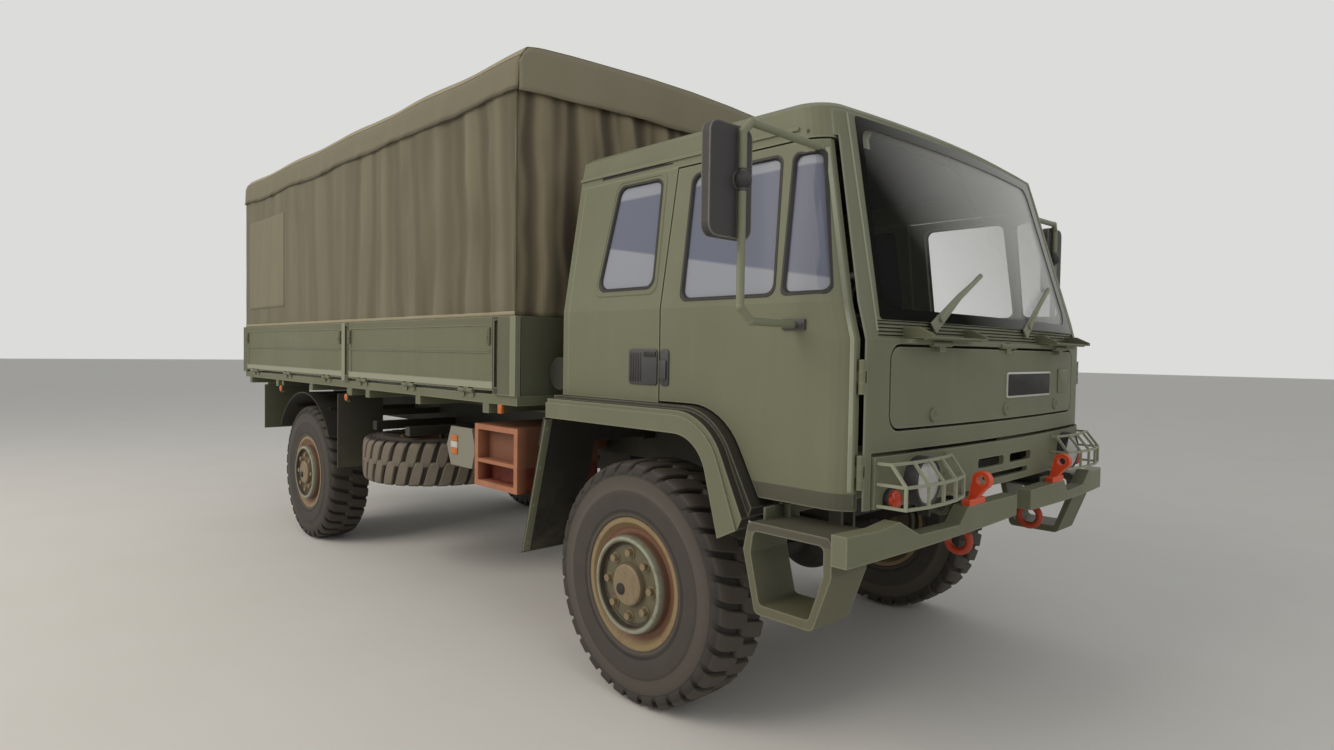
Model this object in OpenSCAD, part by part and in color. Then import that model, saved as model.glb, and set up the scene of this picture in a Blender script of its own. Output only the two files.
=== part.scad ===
// Four-wheel-drive military cargo truck with a tilting cab, drop sides and a canvas cover
// Millimetres. X runs forward, Y to the left, Z up, from the ground under the middle of the truck

/* [Wheels and axles] */
// Distance from the front axle to the rear axle
wheelbase = 3950; // [3700:10:4200]
// Tyre diameter over the lugs
tyre_d = 1062; // [1020:2:1090]
// Tyre width across the sidewalls
tyre_w = 318; // [290:2:330]
// Distance between the tyre middles of one axle
track = 2020; // [1980:5:2040]
// Rim diameter over its flanges
rim_d = 572; // [556:2:588]
// Lugs in each of the two rows of a tyre
lug_count = 33; // [27:1:39]
// Depth of the grooves between the lugs at the shoulder
lug_depth = 30; // [15:1:40]
// Wheel nuts on each wheel
nut_count = 8; // [6:1:10]
// Diameter of the circle through the wheel nuts
nut_circle = 275; // [240:1:300]
// Distance from the middle of the truck to a kingpin
kingpin_y = 770; // [750:1:790]

/* [Frame] */
// Distance between the outer faces of the two rails
frame_w = 870; // [840:5:900]
// Depth of a rail
rail_h = 190; // [170:5:220]
// Height of the rail tops above the ground
frame_top = 1130; // [1110:5:1145]
// Length of truck ahead of the front axle, to the towing eyes
front_reach = 1235; // [1220:1:1260]

/* [Cab] */
// Half of the cab width at the doors
cab_half = 1098; // [1060:2:1120]
// Half of the cab width at the gutter
gutter_half = 993; // [960:2:1010]
// Front of the cab at the middle of the front panel
cab_front = 1105; // [1095:1:1110]
// How far the front panel curves back towards the corners
front_bow = 45; // [20:1:60]
// Rounding of the front corners seen from above
corner_r = 130; // [110:2:150]
// Back of the cab behind the front axle
cab_back = 590; // [560:5:610]
// Thickness of the cab walls and doors
wall = 40; // [30:1:45]
// Front edge of the door, below the waist
door_front = 1036; // [1020:1:1040]
// Rear edge of the door
door_rear = 92; // [60:1:120]
// Underside of the door at its front
door_low = 996; // [990:1:1004]
// Underside of the cab side above the wheel
sill_z = 1320; // [1310:1:1335]
// Height where the front starts to lean back
brow_z = 1590; // [1570:2:1610]
// Height of the waist, where the sides start to lean in
waist_z = 1720; // [1700:2:1740]
// Height of the gutter
gutter_z = 2372; // [2340:2:2400]
// Height of the cab roof
roof_z = 2503; // [2490:1:2530]
// Lean of the windscreen, in millimetres back for each one up
rake = 0.2587; // [0.22:0.001:0.30]
// Gap round the doors and the front flap
shut_gap = 10; // [9:1:12]

/* [Load body] */
// Front of the load body behind the front axle
body_front = 815; // [800:5:840]
// Length of the load body behind the rear axle
rear_overhang = 1465; // [1400:5:1550]
// Half of the load body width
body_half = 1230; // [1215:1:1245]
// Height of the hinges of the drop sides
hinge_z = 1313; // [1310:1:1318]
// Height of the top of the drop sides
side_top = 1706; // [1660:2:1760]
// Middle of the centre posts behind the front axle
mid_post = 2993; // [2900:5:3100]
// Width of the centre posts
post_w = 106; // [90:2:120]

/* [Cover] */
// Height of the cover at its crown
cover_top = 3112; // [3080:2:3150]
// Height of the roof edge of the cover
cover_eave = 2995; // [2960:5:3020]
// Lower edge of the roof valance
valance_z = 2830; // [2780:5:2860]
// Lower hem of the side curtains
hem_z = 1716; // [1710:2:1740]
// Thickness of the canvas
canvas = 10; // [8:1:14]

/* [Hidden] */
$fn = 64;
axle_z = tyre_d / 2;
body_back = wheelbase + rear_overhang;
axle_x = (body_back - front_reach) / 2;
rail_y = frame_w / 2;
frame_low = frame_top - rail_h;
tyre_y = track / 2;
bead_r = rim_d / 2 - 30;
corner_x = cab_front - front_bow - corner_r;
corner_y = cab_half - corner_r;
pin_r = 5;
barrel_r = 12;
tilt_x = 1060;
tilt_z = 945;
arch_x = 290;
arch_r = 290;
arch_turn = 61;
skin_dx = door_front + 5 - corner_x;
door_axis_x = door_front + 5;
door_axis_y = corner_y + sqrt(corner_r * corner_r - skin_dx * skin_dx) - 3;
flap_top = 1577;
flap_low = 1264;
flap_half = 895;
flap_axis_z = flap_top + 5;
spare_x = -wheelbase + 1300;
spare_y = -670;
spare_z = frame_low - 11 - tyre_w / 2;

// Helpers
// Corners of an outline rounded with the radius r
function turn(a, b) = (b - a) > 180 ? b - a - 360 : ((b - a) < -180 ? b - a + 360 : b - a);
function corner_arc(a, p, b, r, n) =
    let (u = (a - p) / norm(a - p))
    let (v = (b - p) / norm(b - p))
    let (half = acos(u * v) / 2)
    let (mid = (u + v) / norm(u + v))
    let (c = p + mid * r / sin(half))
    let (q = p + u * r / tan(half))
    let (s = p + v * r / tan(half))
    let (a0 = atan2(q[1] - c[1], q[0] - c[0]))
    let (a1 = atan2(s[1] - c[1], s[0] - c[0]))
    [for (i = [0:n]) c + r * [cos(a0 + turn(a0, a1) * i / n), sin(a0 + turn(a0, a1) * i / n)]];
function rounded(pts, r, n = 5) = [
    for (i = [0:len(pts) - 1])
        each corner_arc(pts[(i + len(pts) - 1) % len(pts)], pts[i], pts[(i + 1) % len(pts)], r, n)
];
function box2(x0, x1, y0, y1) = [[x0, y0], [x1, y0], [x1, y1], [x0, y1]];

module block(x0, x1, y0, y1, z0, z1) {
    translate([x0, y0, z0]) cube([x1 - x0, y1 - y0, z1 - z0]);
}

// Outline of a bent strip of width w along a line of points
function across(a, b) = [a[1] - b[1], b[0] - a[0]] / norm(b - a);
function strip_edge(p, h) = [
    for (i = [0:len(p) - 1])
        let (m = across(p[max(i - 1, 0)], p[max(i, 1)]))
        let (n = m + across(p[min(i, len(p) - 2)], p[min(i + 1, len(p) - 1)]))
        p[i] + n * 2 * h / (n * n)
];
function backwards(p) = [for (i = [len(p) - 1:-1:0]) p[i]];
function strip(p, w) = concat(strip_edge(p, w / 2), backwards(strip_edge(p, -w / 2)));

// An outline in X and Z, pushed through from y0 to y1
module side_prism(pts, y0, y1) {
    translate([0, y1, 0]) rotate([90, 0, 0]) linear_extrude(height = y1 - y0) polygon(pts);
}

// An outline in Y and Z, pushed through from x0 to x1
module front_prism(pts, x0, x1) {
    translate([x0, 0, 0]) rotate([90, 0, 90]) linear_extrude(height = x1 - x0) polygon(pts);
}

// A round bar between two points
module bar(a, b, r) {
    d = b - a;
    translate(a)
        rotate([0, acos(d[2] / norm(d)), atan2(d[1], d[0])])
            cylinder(h = norm(d), r = r);
}

// A bent round bar through a list of points
module bent(pts, r) {
    for (i = [0:len(pts) - 2]) bar(pts[i], pts[i + 1], r);
    for (i = [1:len(pts) - 2]) translate(pts[i]) sphere(r = r * 1.12);
}

module both_sides() {
    children();
    mirror([0, 1, 0]) children();
}

// Hinge along Z, with the fixed ears and the pin
module hinge_fixed(l) {
    cylinder(h = l, r = pin_r, center = true);
    for (s = [-1, 1]) translate([0, 0, s * l / 3]) cylinder(h = l / 3 - 1, r = barrel_r, center = true);
}

// Hinge along Z, with the turning barrel
module hinge_turning(l) {
    difference() {
        cylinder(h = l / 3 - 1, r = barrel_r, center = true);
        cylinder(h = l, r = pin_r + 0.08, center = true);
    }
}

// Room that the turning barrel needs in the fixed side
module hinge_room_fixed(l) {
    cylinder(h = l / 3 + 1, r = barrel_r + 6, center = true);
}

// Room that the fixed ears need in the turning side
module hinge_room_turning(l) {
    for (s = [-1, 1]) translate([0, 0, s * (l / 3 + 1)]) cylinder(h = l / 3 + 3, r = barrel_r + 6, center = true);
    cylinder(h = l, r = pin_r + 0.08, center = true);
}

// Frame
module rail() {
    front = bumper_x(rail_y) - 62;
    difference() {
        block(-body_back + 60, front, rail_y - 75, rail_y, frame_low, frame_top);
        block(-body_back + 59, front + 1, rail_y - 76, rail_y - 9, frame_low + 9, frame_top - 9);
        block(1040, front + 1, rail_y - 76, rail_y + 1, 992, frame_top + 1);
    }
}

module spring_hanger(x, drop) {
    for (s = [-1, 1])
        block(x - 32, x + 32, rail_y - 37 + s * 48 - 8, rail_y - 37 + s * 48 + 8, axle_z + drop - 30, frame_low - 0.2);
    translate([x, rail_y - 37, axle_z + drop]) rotate([90, 0, 0]) cylinder(h = 110, r = 12, center = true);
}

module cross_members() {
    for (x = [-1700, -wheelbase + 1450, -wheelbase + 650, -wheelbase - 550, -body_back + 105])
        block(x - 45, x + 45, -rail_y + 9.2, rail_y - 9.2, frame_low + 30, frame_top - 20);
    block(915, 1005, -rail_y + 9.2, rail_y - 9.2, frame_low + 30, frame_top - 50);
}

module spring_hangers() {
    both_sides() {
        for (x = [-560, 560]) spring_hanger(x, 215);
        for (x = [-720, 720]) spring_hanger(x - wheelbase, 215);
    }
}

// Arms, rod and clamp plate that hold the spare wheel under the frame
module spare_carrier() {
    low = frame_low - 9;
    seat = spare_z - dish_z - 0.2;
    for (x = [-260, 260])
        block(spare_x + x - 30, spare_x + x + 30, spare_y - 380, -rail_y - 0.2, frame_low + 12, frame_low + 72);
    block(spare_x - 300, spare_x + 300, spare_y - 40, spare_y + 40, low, frame_low + 12);
    translate([spare_x, spare_y, seat - 24]) cylinder(h = frame_low - seat + 20, r = 16);
    translate([spare_x, spare_y, seat - 14]) cylinder(h = 14, r = 100);
}

module chassis_frame() {
    color("#3A3B33") {
        both_sides() {
            rail();
            translate([tilt_x, rail_y - 1, tilt_z]) rotate([-90, 0, 0]) cylinder(h = 52, r = 16);
        }
        cross_members();
        spring_hangers();
        spare_carrier();
    }
}

// Axles, springs and engine
module front_axle() {
    color("#2E2B27") {
        translate([0, 0, axle_z]) rotate([90, 0, 0]) cylinder(h = 2 * kingpin_y - 130, r = 62, center = true);
        translate([0, 160, axle_z]) {
            sphere(r = 165);
            rotate([0, -90, 0]) cylinder(h = 230, r = 70);
        }
        both_sides() {
            block(-60, 60, kingpin_y - 120, kingpin_y - 64, axle_z - 135, axle_z + 135);
            for (z = [-135, 105]) block(-50, 50, kingpin_y - 66, kingpin_y + 40, axle_z + z, axle_z + z + 30);
            translate([0, kingpin_y, axle_z - 140]) cylinder(h = 280, r = 20);
            block(-60, 60, rail_y - 74, rail_y, axle_z + 40, axle_z + 86);
        }
    }
}

module knuckle() {
    color("#2E2B27") {
        difference() {
            union() {
                translate([0, kingpin_y, axle_z - 99]) cylinder(h = 198, r = 55);
                translate([0, kingpin_y, axle_z]) rotate([-90, 0, 0]) cylinder(h = 70, r = 92);
                translate([0, kingpin_y + 60, axle_z]) rotate([-90, 0, 0]) cylinder(h = tyre_y - kingpin_y - 20, r = 45);
                block(-250, -30, kingpin_y - 20, kingpin_y + 20, axle_z - 90, axle_z - 60);
            }
            translate([0, kingpin_y, axle_z - 200]) cylinder(h = 400, r = 20.08);
        }
    }
}

module rear_axle() {
    color("#2E2B27") translate([-wheelbase, 0, axle_z]) {
        rotate([90, 0, 0]) cylinder(h = 2 * tyre_y - 330, r = 68, center = true);
        rotate([90, 0, 0]) cylinder(h = 2 * tyre_y + 80, r = 45, center = true);
        sphere(r = 185);
        rotate([0, 90, 0]) cylinder(h = 250, r = 72);
        both_sides() {
            block(-60, 60, rail_y - 74, rail_y, 40, 86);
            translate([0, tyre_y - 180, 0]) rotate([-90, 0, 0]) cylinder(h = 14, r = 190);
        }
    }
}

// A leaf spring as a stack of curved leaves between two eyes
module leaf_spring(x, reach) {
    rise = 215 - 86;
    r0 = (reach * reach + rise * rise) / (2 * rise);
    translate([x, rail_y, axle_z + 86]) rotate([90, 0, 0]) linear_extrude(height = 74) difference() {
        union() {
            for (i = [0:5]) {
                intersection() {
                    translate([0, r0]) difference() {
                        circle(r = r0 - i * 11, $fn = 180);
                        circle(r = r0 - (i + 1) * 11, $fn = 180);
                    }
                    translate([-reach * (1 - 0.13 * i), -1]) square([2 * reach * (1 - 0.13 * i), rise + 90]);
                }
            }
            for (s = [-1, 1]) translate([s * reach, rise]) circle(r = 30);
        }
        for (s = [-1, 1]) translate([s * reach, rise]) circle(r = 12.2);
    }
}

module leaf_springs() {
    color("#2B2824") both_sides() {
        leaf_spring(0, 560);
        leaf_spring(-wheelbase, 720);
    }
}

module engine() {
    color("#3B3A36") {
        block(-480, 500, -280, 280, 860, 1270);
        block(-380, 380, -200, 200, 745, 861);
        translate([-479, 0, 960]) rotate([0, -90, 0]) cylinder(h = 90, r = 210);
        block(-1020, -560, -150, 150, 830, 1110);
        block(520, 562, -330, 330, 800, 1110);
        block(495, 525, -120, 120, 900, 1100);
        both_sides() block(-60, 60, 270, rail_y - 9, 1000, 1060);
    }
}

module driveline() {
    color("#2E2B27") {
        block(-1420, -1120, -190, 260, 690, 1040);
        translate([-1125, 160, 740]) rotate([0, 90, 0]) cylinder(h = 60, r = 70);
        bar([-1021, 0, 960], [-1125, 0, 960], 60);
        difference() {
            union() {
                bar([-1070, 160, 740], [-215, 160, axle_z + 3], 38);
                bar([-1410, 0, 800], [-wheelbase + 235, 0, axle_z + 3], 45);
            }
            block(-230.2, 0, 0, 400, 300, 800);
            block(-wheelbase, -wheelbase + 250.2, -200, 200, 300, 800);
        }
        both_sides() block(-1330, -1210, 185, rail_y - 9, 960, 1010);
    }
}

// Wheels
// Rings of points round a tyre, as radius, place across and steps turned: beads, sidewalls, lug tips, groove floors, crown
function tyre_rings() = let (w = tyre_w / 2) let (r = tyre_d / 2) let (b = bead_r + 0.6) [
    [b, -126, -2], [b, 126, 0],
    [r - 91, -w, -2], [r - 91, w, 0],
    [r - 6, -w + 26, -2], [r - 6, w - 26, 0],
    [r - 6 - lug_depth, -w + 20, -2], [r - 6 - lug_depth, w - 20, 0],
    [r, 0, -1]
];
function halves(q) = [[q[0], q[1], q[2]], [q[0], q[2], q[3]]];

// Faces of one side of one sector, from the bead over the sidewall to the crown, and the wall beside a lug
function sector_side(side, m, i, j, high) =
    let (s = (2 + side) * m)
    let (tip = (4 + side) * m)
    let (root = (6 + side) * m)
    let (crown = 8 * m)
    let (t = high ? tip : root)
    let (quads = [
        [side * m + i, side * m + j, s + j, s + i],
        [s + i, s + j, t + j, t + i],
        [t + i, t + j, crown + j, crown + i]
    ])
    let (edge = [root + i, crown + i, tip + i, s + i])
    concat(
        [for (q = quads) each halves(side == 0 ? backwards(q) : q)],
        halves((side == 0) == high ? edge : backwards(edge))
    );

// Tyre with two rows of slanted lugs, half a pitch apart
module tyre_shape() {
    m = 2 * lug_count;
    pts = [for (p = tyre_rings()) for (i = [0:m - 1])
        let (a = 90 + (i + p[2]) * 360 / m) [p[0] * cos(a), p[0] * sin(a), p[1]]];
    faces = [for (i = [0:m - 1]) let (j = (i + 1) % m) each concat(
        halves([(i + 2) % m, (j + 2) % m, m + j, m + i]),
        sector_side(0, m, i, j, i % 2 == 0),
        sector_side(1, m, i, j, i % 2 == 1)
    )];
    polyhedron(points = pts, faces = faces);
}

// Face of the wheel disc that lies against the wheel nuts, and the ring that stands round it
dish_z = 146;
function disc_face(b) = [
    [b, 126], [b + 30, 134], [b + 30, 142], [b + 8, 142], [b - 6, 128], [b - 22, 120], [b - 38, 120], [b - 44, 150],
    [b - 50, 172], [b - 60, 176], [b - 72, 172], [b - 78, dish_z + 4], [b - 84, dish_z]
];
function rim_back(b) = [
    [b - 24, -60], [b - 10, -118], [b + 8, -142], [b + 30, -142], [b + 30, -134], [b, -126]
];

// Outline of the bare wheel, with the outer side towards +Z and the disc open inside r
function rim_outline(r) = let (b = bead_r) concat(
    [[r, dish_z - 16], [b - 84, dish_z - 16], [b - 73, 134], [b - 68, 156], [b - 60, 158], [b - 57, 150], [b - 52, 106],
     [b - 40, 104], [b - 24, 98]],
    rim_back(b), disc_face(b), [[r, dish_z]]
);

// Outline of a whole wheel, with the rim, the disc, the brake drum and the hub cap
function wheel_outline() = let (b = bead_r) concat(
    [[45.06, -90], [b - 56, -90], [b - 51, -82], [b - 51, 105], [b - 40, 104], [b - 24, 98]],
    rim_back(b), disc_face(b),
    [[90, dish_z], [88, 172], [80, 178], [0, 178], [0, 50], [45.06, 50]]
);

module on_nut_circle() {
    for (i = [0:nut_count - 1]) rotate([0, 0, i * 360 / nut_count]) translate([nut_circle / 2, 0, 0]) children();
}

module wheel_nuts() {
    on_nut_circle() translate([0, 0, dish_z - 1]) {
        cylinder(h = 26, r = 17, $fn = 6);
        cylinder(h = 5, r = 23);
    }
}

module at_wheel(x, side) {
    translate([x, side * tyre_y, axle_z]) rotate([side < 0 ? 90 : -90, 0, 0]) children();
}

module tyre(x, side) {
    color("#46423D") at_wheel(x, side) tyre_shape();
}

module wheel(x, side) {
    color("#8B7756") at_wheel(x, side) {
        rotate_extrude($fn = 96) polygon(wheel_outline());
        wheel_nuts();
    }
}

module spare_tyre() {
    color("#46423D") translate([spare_x, spare_y, spare_z]) tyre_shape();
}

module spare_rim() {
    color("#8B7756") translate([spare_x, spare_y, spare_z]) rotate([180, 0, 0]) difference() {
        rotate_extrude($fn = 96) polygon(rim_outline(60));
        on_nut_circle() cylinder(h = 300, r = 13);
    }
}

// Bumper, towing gear and lamps
function bumper_x(y) = front_reach - 41 - y * y / 20050;
function bumper_face(g) = [
    [-1224 + g, 845 + g], [-75 - g, 880 + g], [-75 - g, 966 - g], [-496 + g / 2, 966 - g],
    [-556 + g / 2, 906 - g], [-826 - g / 2, 906 - g], [-946 - g / 2, 966 - g], [-1050, 950 - g], [-1224 + g, 950 - g]
];

module bumper_band(front, back, z0, z1) {
    translate([0, 0, z0]) linear_extrude(height = z1 - z0) polygon(concat(
        [for (i = [0:12]) [bumper_x(-1230 + i * 100) - front, -1230 + i * 100]],
        [for (i = [0:12]) [bumper_x(-30 - i * 100) - back, -30 - i * 100]]
    ));
}

module bumper() {
    color("#767860") both_sides() {
        difference() {
            intersection() {
                front_prism(bumper_face(0), 900, 1300);
                bumper_band(0, 60, 800, 1000);
            }
            intersection() {
                front_prism(bumper_face(10), 900, 1300);
                bumper_band(10, 90, 800, 1000);
            }
        }
        block(bumper_x(rail_y) - 61.8, bumper_x(rail_y) - 40, -rail_y, -rail_y + 75, frame_low, 985);
        block(bumper_x(rail_y) - 42, bumper_x(rail_y) - 5, -rail_y + 10, -rail_y + 60, 900, 958);
    }
}

module tow_eyes() {
    base = bumper_x(420);
    color("#D93A12") both_sides() {
        difference() {
            union() {
                block(base - 36, base - 3, -485, -355, 966.2, 990);
                side_prism([[base - 36, 989], [base - 3, 989], [front_reach - 3, 1050], [front_reach - 70, 1072]], -435, -405);
                translate([front_reach - 36, -405, 1062]) rotate([90, 0, 0]) cylinder(h = 30, r = 36);
            }
            translate([front_reach - 36, -380, 1062]) rotate([90, 0, 0]) cylinder(h = 80, r = 17);
        }
    }
}

module tow_hooks() {
    color("#962E14") both_sides() {
        translate([1080, -360, 800]) rotate([90, 0, 0]) rotate_extrude() translate([46, 0]) circle(r = 15);
        block(1062, 1098, -375, -345, 858, frame_low);
    }
}

module lamp_panel() {
    color("#767860") difference() {
        intersection() {
            difference() {
                cab_plan_prism(12, 1000, 1182);
                cab_plan_prism(-8, 999, 1183);
            }
            block(900, 1300, -985, 985, 1000, 1182);
        }
        both_sides() {
            translate([1000, -725, 1080]) rotate([0, 90, 0]) cylinder(h = 200, r = 92);
            translate([1000, -898, 1030]) rotate([0, 90, 0]) cylinder(h = 200, r = 40);
        }
        for (y = [150, -150]) front_prism(rounded(box2(y - 120, y + 120, 1080, 1120), 14), 1000, 1200);
        front_prism(rounded(box2(-230, 230, 1028, 1052), 10), 1000, 1200);
    }
    color("#3A3B33") both_sides() {
        block(1040.3, 1092, -rail_y, -rail_y + 60, 1040, 1070);
    }
}

module lamps() {
    color("#D3D0CF") both_sides() {
        translate([1040, -725, 1080]) rotate([0, 90, 0]) rotate_extrude() polygon([
            [0, 0], [60, 0], [91.7, 26], [91.7, 88], [86, 94], [78, 98], [52, 108], [0, 112]
        ]);
        translate([1030, -898, 1030]) rotate([0, 90, 0]) rotate_extrude() polygon([
            [0, 0], [39.7, 0], [39.7, 72], [34, 82], [0, 88]
        ]);
    }
    color("#C8321E") both_sides() {
        for (y = [body_half - 250, body_half - 370]) translate([-body_back + 61, -y, 1190]) rotate([0, -90, 0]) cylinder(h = 26, r = 42);
        block(-body_back + 60, -body_back + 72, -body_half + 190, -body_half + 430, 1140, 1251.8);
    }
    color("#D4782B") both_sides() {
        block(-990, -952, -body_half + 8, -body_half + 28, 1205, 1252);
        for (x = [-mid_post - 17, -wheelbase - 461]) {
            translate([x, -body_half + 29, 1182]) rotate([90, 0, 0]) cylinder(h = 22, r = 26);
            block(x - 20, x + 20, -body_half + 28, -body_half + 36, 1150, 1252);
        }
    }
}

module lamp_guards() {
    low = [[1072.7, -972], [1180, -966], [1202, -850], [1206, -750], [1202, -650], [1180, -540], [1103.9, -536]];
    top = [[1072.7, -972], [1122, -966], [1142, -850], [1146, -750], [1142, -650], [1126, -540], [1103.9, -536]];
    color("#767860") both_sides() {
        for (z = [1008, 1084]) translate([0, 0, z]) linear_extrude(height = 10) polygon(strip(low, 10));
        translate([0, 0, 1156]) linear_extrude(height = 10) polygon(strip(top, 10));
        for (i = [1:5])
            side_prism(strip([[low[i][0], 1010], [low[i][0], 1090], [top[i][0], 1164]], 10), low[i][1] - 5, low[i][1] + 5);
    }
}

// Steps under the doors
module cab_steps() {
    color("#767860") both_sides() {
        difference() {
            side_prism(rounded([[678, 828], [736, 604], [984, 604], [1056, 800], [1056, 932], [700, 932]], 24), -1214, -1000);
            side_prism(rounded([[712, 820], [756, 640], [968, 640], [1024, 800], [1024, 900], [724, 900]], 20), -1300, -990);
        }
        block(704, 754, -1010, -rail_y - 0.2, frame_low + 4, 978);
        block(704, 754, -1040, -980, 899, 978);
    }
}

// Tanks and boxes
module fuel_tank() {
    back = -wheelbase + 1900;
    bands = [back + 170, -1290];
    color("#5B5C49") {
        front_prism(rounded(box2(560, 1130, 640, 1010), 60), back, -1080);
        for (x = bands) front_prism(rounded(box2(556, 1134, 636, 1014), 64), x - 25, x + 25);
        translate([(back - 1080) / 2, 1000, 1009]) cylinder(h = 40, r = 55);
        for (x = bands) block(x - 25, x + 25, rail_y + 0.2, 600, 960, 990);
    }
}

module air_tanks() {
    back = -wheelbase + 890;
    color("#3A3B33") {
        for (y = [560, 800]) translate([back, y, 780]) rotate([0, 90, 0]) cylinder(h = 860, r = 110);
        for (x = [back + 100, back + 740]) block(x - 20, x + 20, rail_y - 60, 900, 884, frame_low - 0.2);
        translate([-700, -620, 1420]) rotate([90, 0, 0]) cylinder(h = 420, r = 82);
        block(-740, -660, -700, -rail_y, frame_top, frame_top + 20);
        block(-740, -660, -720, -680, frame_top, 1345);
    }
}

module battery_box() {
    color("#B57A5A") {
        difference() {
            block(-1340, -910, -1150, -620, 784, 1125);
            block(-1305, -945, -1151, -1080, 935, 1095);
            block(-1305, -945, -1151, -1060, 815, 915);
        }
        block(-1200, -1050, -621, -rail_y - 0.2, 960, 1010);
    }
    color("#8B897B") {
        side_prism([[-1660, 976], [-1610, 1088], [-1375, 1088], [-1344, 1000], [-1344, 950], [-1375, 864], [-1610, 864]],
            -1150, -1130);
        block(-1620, -1400, -1131, -rail_y - 0.2, 960, 1000);
    }
}

// Mudguards and flaps
module rear_guards() {
    out = -body_half + 40;
    color("#24211C") both_sides() {
        difference() {
            translate([-wheelbase, out, axle_z]) rotate([-90, 0, 0]) cylinder(h = 350, r = axle_z + 112);
            translate([-wheelbase, out - 1, axle_z]) rotate([-90, 0, 0]) cylinder(h = 352, r = axle_z + 104);
            block(-wheelbase - 900, -wheelbase + 900, out - 10, out + 400, -400, axle_z + 330);
        }
        for (x = [-373, 373]) block(-wheelbase + x - 8, -wheelbase + x + 8, out + 70, -rail_y - 0.2, 1030, 1075);
    }
}

module rear_flaps() {
    out = -body_half + 8;
    back = -wheelbase - 864;
    front = -wheelbase + 804;
    color("#24211C") both_sides() {
        block(back - 6, back + 6, out, out + 372, 820, 1199.8);
        block(back - 6, back + 6, out + 340, -rail_y - 0.2, 1030, 1075);
        block(front - 6, front + 6, out, out + 332, 665, 1199.8);
        block(front - 6, front + 6, out + 300, -rail_y - 0.2, 1030, 1075);
    }
}

module front_flaps() {
    color("#24211C") both_sides() {
        side_prism([[-602, 1212], [-790, 520], [-782, 518], [-594, 1210]], -1198, -860);
    }
    color("#767860") both_sides() {
        side_prism([[-602.2, 1212], [-640, 1072], [-648, 1074], [-610, 1214]], -1198, -480);
        block(-690, -634, -520, -rail_y - 0.2, 1060, 1100);
    }
}

module mudguards() {
    rear_guards();
    rear_flaps();
    front_flaps();
}

// Outline below the wheel arch of the cab, drawn in by o, turning down by t degrees
function arch_line(o, low, t) = concat(
    [[-cab_back, sill_z - o]],
    [for (i = [0:12]) [
        arch_x + (arch_r - o) * sin(t * i / 12),
        sill_z - arch_r + (arch_r - o) * cos(t * i / 12)
    ]],
    [[arch_x + (arch_r - o) * sin(t) + (sill_z - arch_r + (arch_r - o) * cos(t) - low) / tan(t), low]]
);

module arch_band(from, to, y0, y1) {
    side_prism(concat(from, backwards(to)), y0, y1);
}

module arch_flares() {
    color("#767860") both_sides() {
        arch_band(arch_line(0.3, 962, arch_turn), arch_line(18, 925, 64), -1150, -cab_half + 90);
        arch_band(arch_line(16, 925, 64), arch_line(36, 880, 68), -1190, -1140);
        arch_band(arch_line(34, 880, 68), arch_line(108, 835, 74), -1200, -1188);
    }
}

// Load body
module floor_runners() {
    both_sides()
        block(-body_back + 60, -body_front - 60, -rail_y, -rail_y + 75, frame_top + 0.2, 1199.8);
}

module floor_bearers() {
    for (x = [
        -body_front - 300, -(body_front + mid_post) / 2 + 4, -mid_post + 353, -mid_post + 53,
        -wheelbase + 250, -wheelbase - 550, -body_back + 180
    ]) {
        block(x - 30, x + 30, -body_half + 60.2, body_half - 60.2, 1200, 1285.8);
        block(x - 30, x + 30, -body_half + 14, body_half - 14, 1200, 1251.8);
    }
}

module cargo_floor() {
    color("#5B5C49") {
        floor_runners();
        floor_bearers();
        block(-body_back + 60, -body_front - 40, -body_half + 50, body_half - 50, 1286, 1304);
        both_sides() block(-body_back + 24, -body_front, -body_half + 14, -body_half + 60, 1252, 1301);
        block(-body_front - 45, -body_front, -body_half + 14, body_half - 14, 1252, 1301);
        block(-body_back + 24, -body_back + 70, -body_half + 14, body_half - 14, 1252, 1301);
    }
    color("#767860") {
        both_sides() {
            for (x = side_hinges()) translate([x, -body_half + 2, hinge_z]) rotate([0, 90, 0]) hinge_fixed(150);
            for (x = side_hinges()) for (s = [-50, 50])
                block(x + s - 20, x + s + 20, -body_half + 4, -body_half + 30, 1280, hinge_z);
        }
        for (y = [-800, 0, 800]) {
            translate([-body_back + 22, y, hinge_z]) rotate([90, 0, 0]) hinge_fixed(150);
            for (s = [-50, 50]) block(-body_back + 24.5, -body_back + 40, y + s - 20, y + s + 20, 1270, hinge_z);
        }
    }
}

function side_hinges() = [
    -body_front - 485, -(body_front + mid_post) / 2 - 96, -mid_post + 293,
    -mid_post - 357, -(mid_post + body_back) / 2 + 4, -body_back + 365
];

module side_hinge_rooms() {
    for (x = side_hinges()) translate([x, -body_half + 2, hinge_z]) rotate([0, 90, 0]) hinge_room_turning(150);
}

// One drop side from x0 back to x1, on the right
module drop_side(x0, x1) {
    color("#767860") {
        difference() {
            union() {
                block(x1, x0, -body_half + 6, -body_half + 28, 1322, side_top - 2);
                block(x1, x0, -body_half, -body_half + 34, 1320, 1365);
                block(x1, x0, -body_half, -body_half + 34, 1516, 1532);
                block(x1, x0, -body_half, -body_half + 34, side_top - 46, side_top);
                for (x = [x0 - 20, x1 + 20]) block(x - 20, x + 20, -body_half, -body_half + 34, 1320, side_top);
            }
            side_hinge_rooms();
        }
        for (x = side_hinges()) if (x < x0 && x > x1) {
            translate([x, -body_half + 2, hinge_z]) rotate([0, 90, 0]) hinge_turning(150);
            difference() {
                block(x - 22, x + 22, -body_half, -body_half + 14, hinge_z + 2, 1340);
                translate([x, -body_half + 2, hinge_z]) rotate([0, 90, 0]) cylinder(h = 60, r = pin_r + 0.08, center = true);
            }
        }
    }
}

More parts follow.
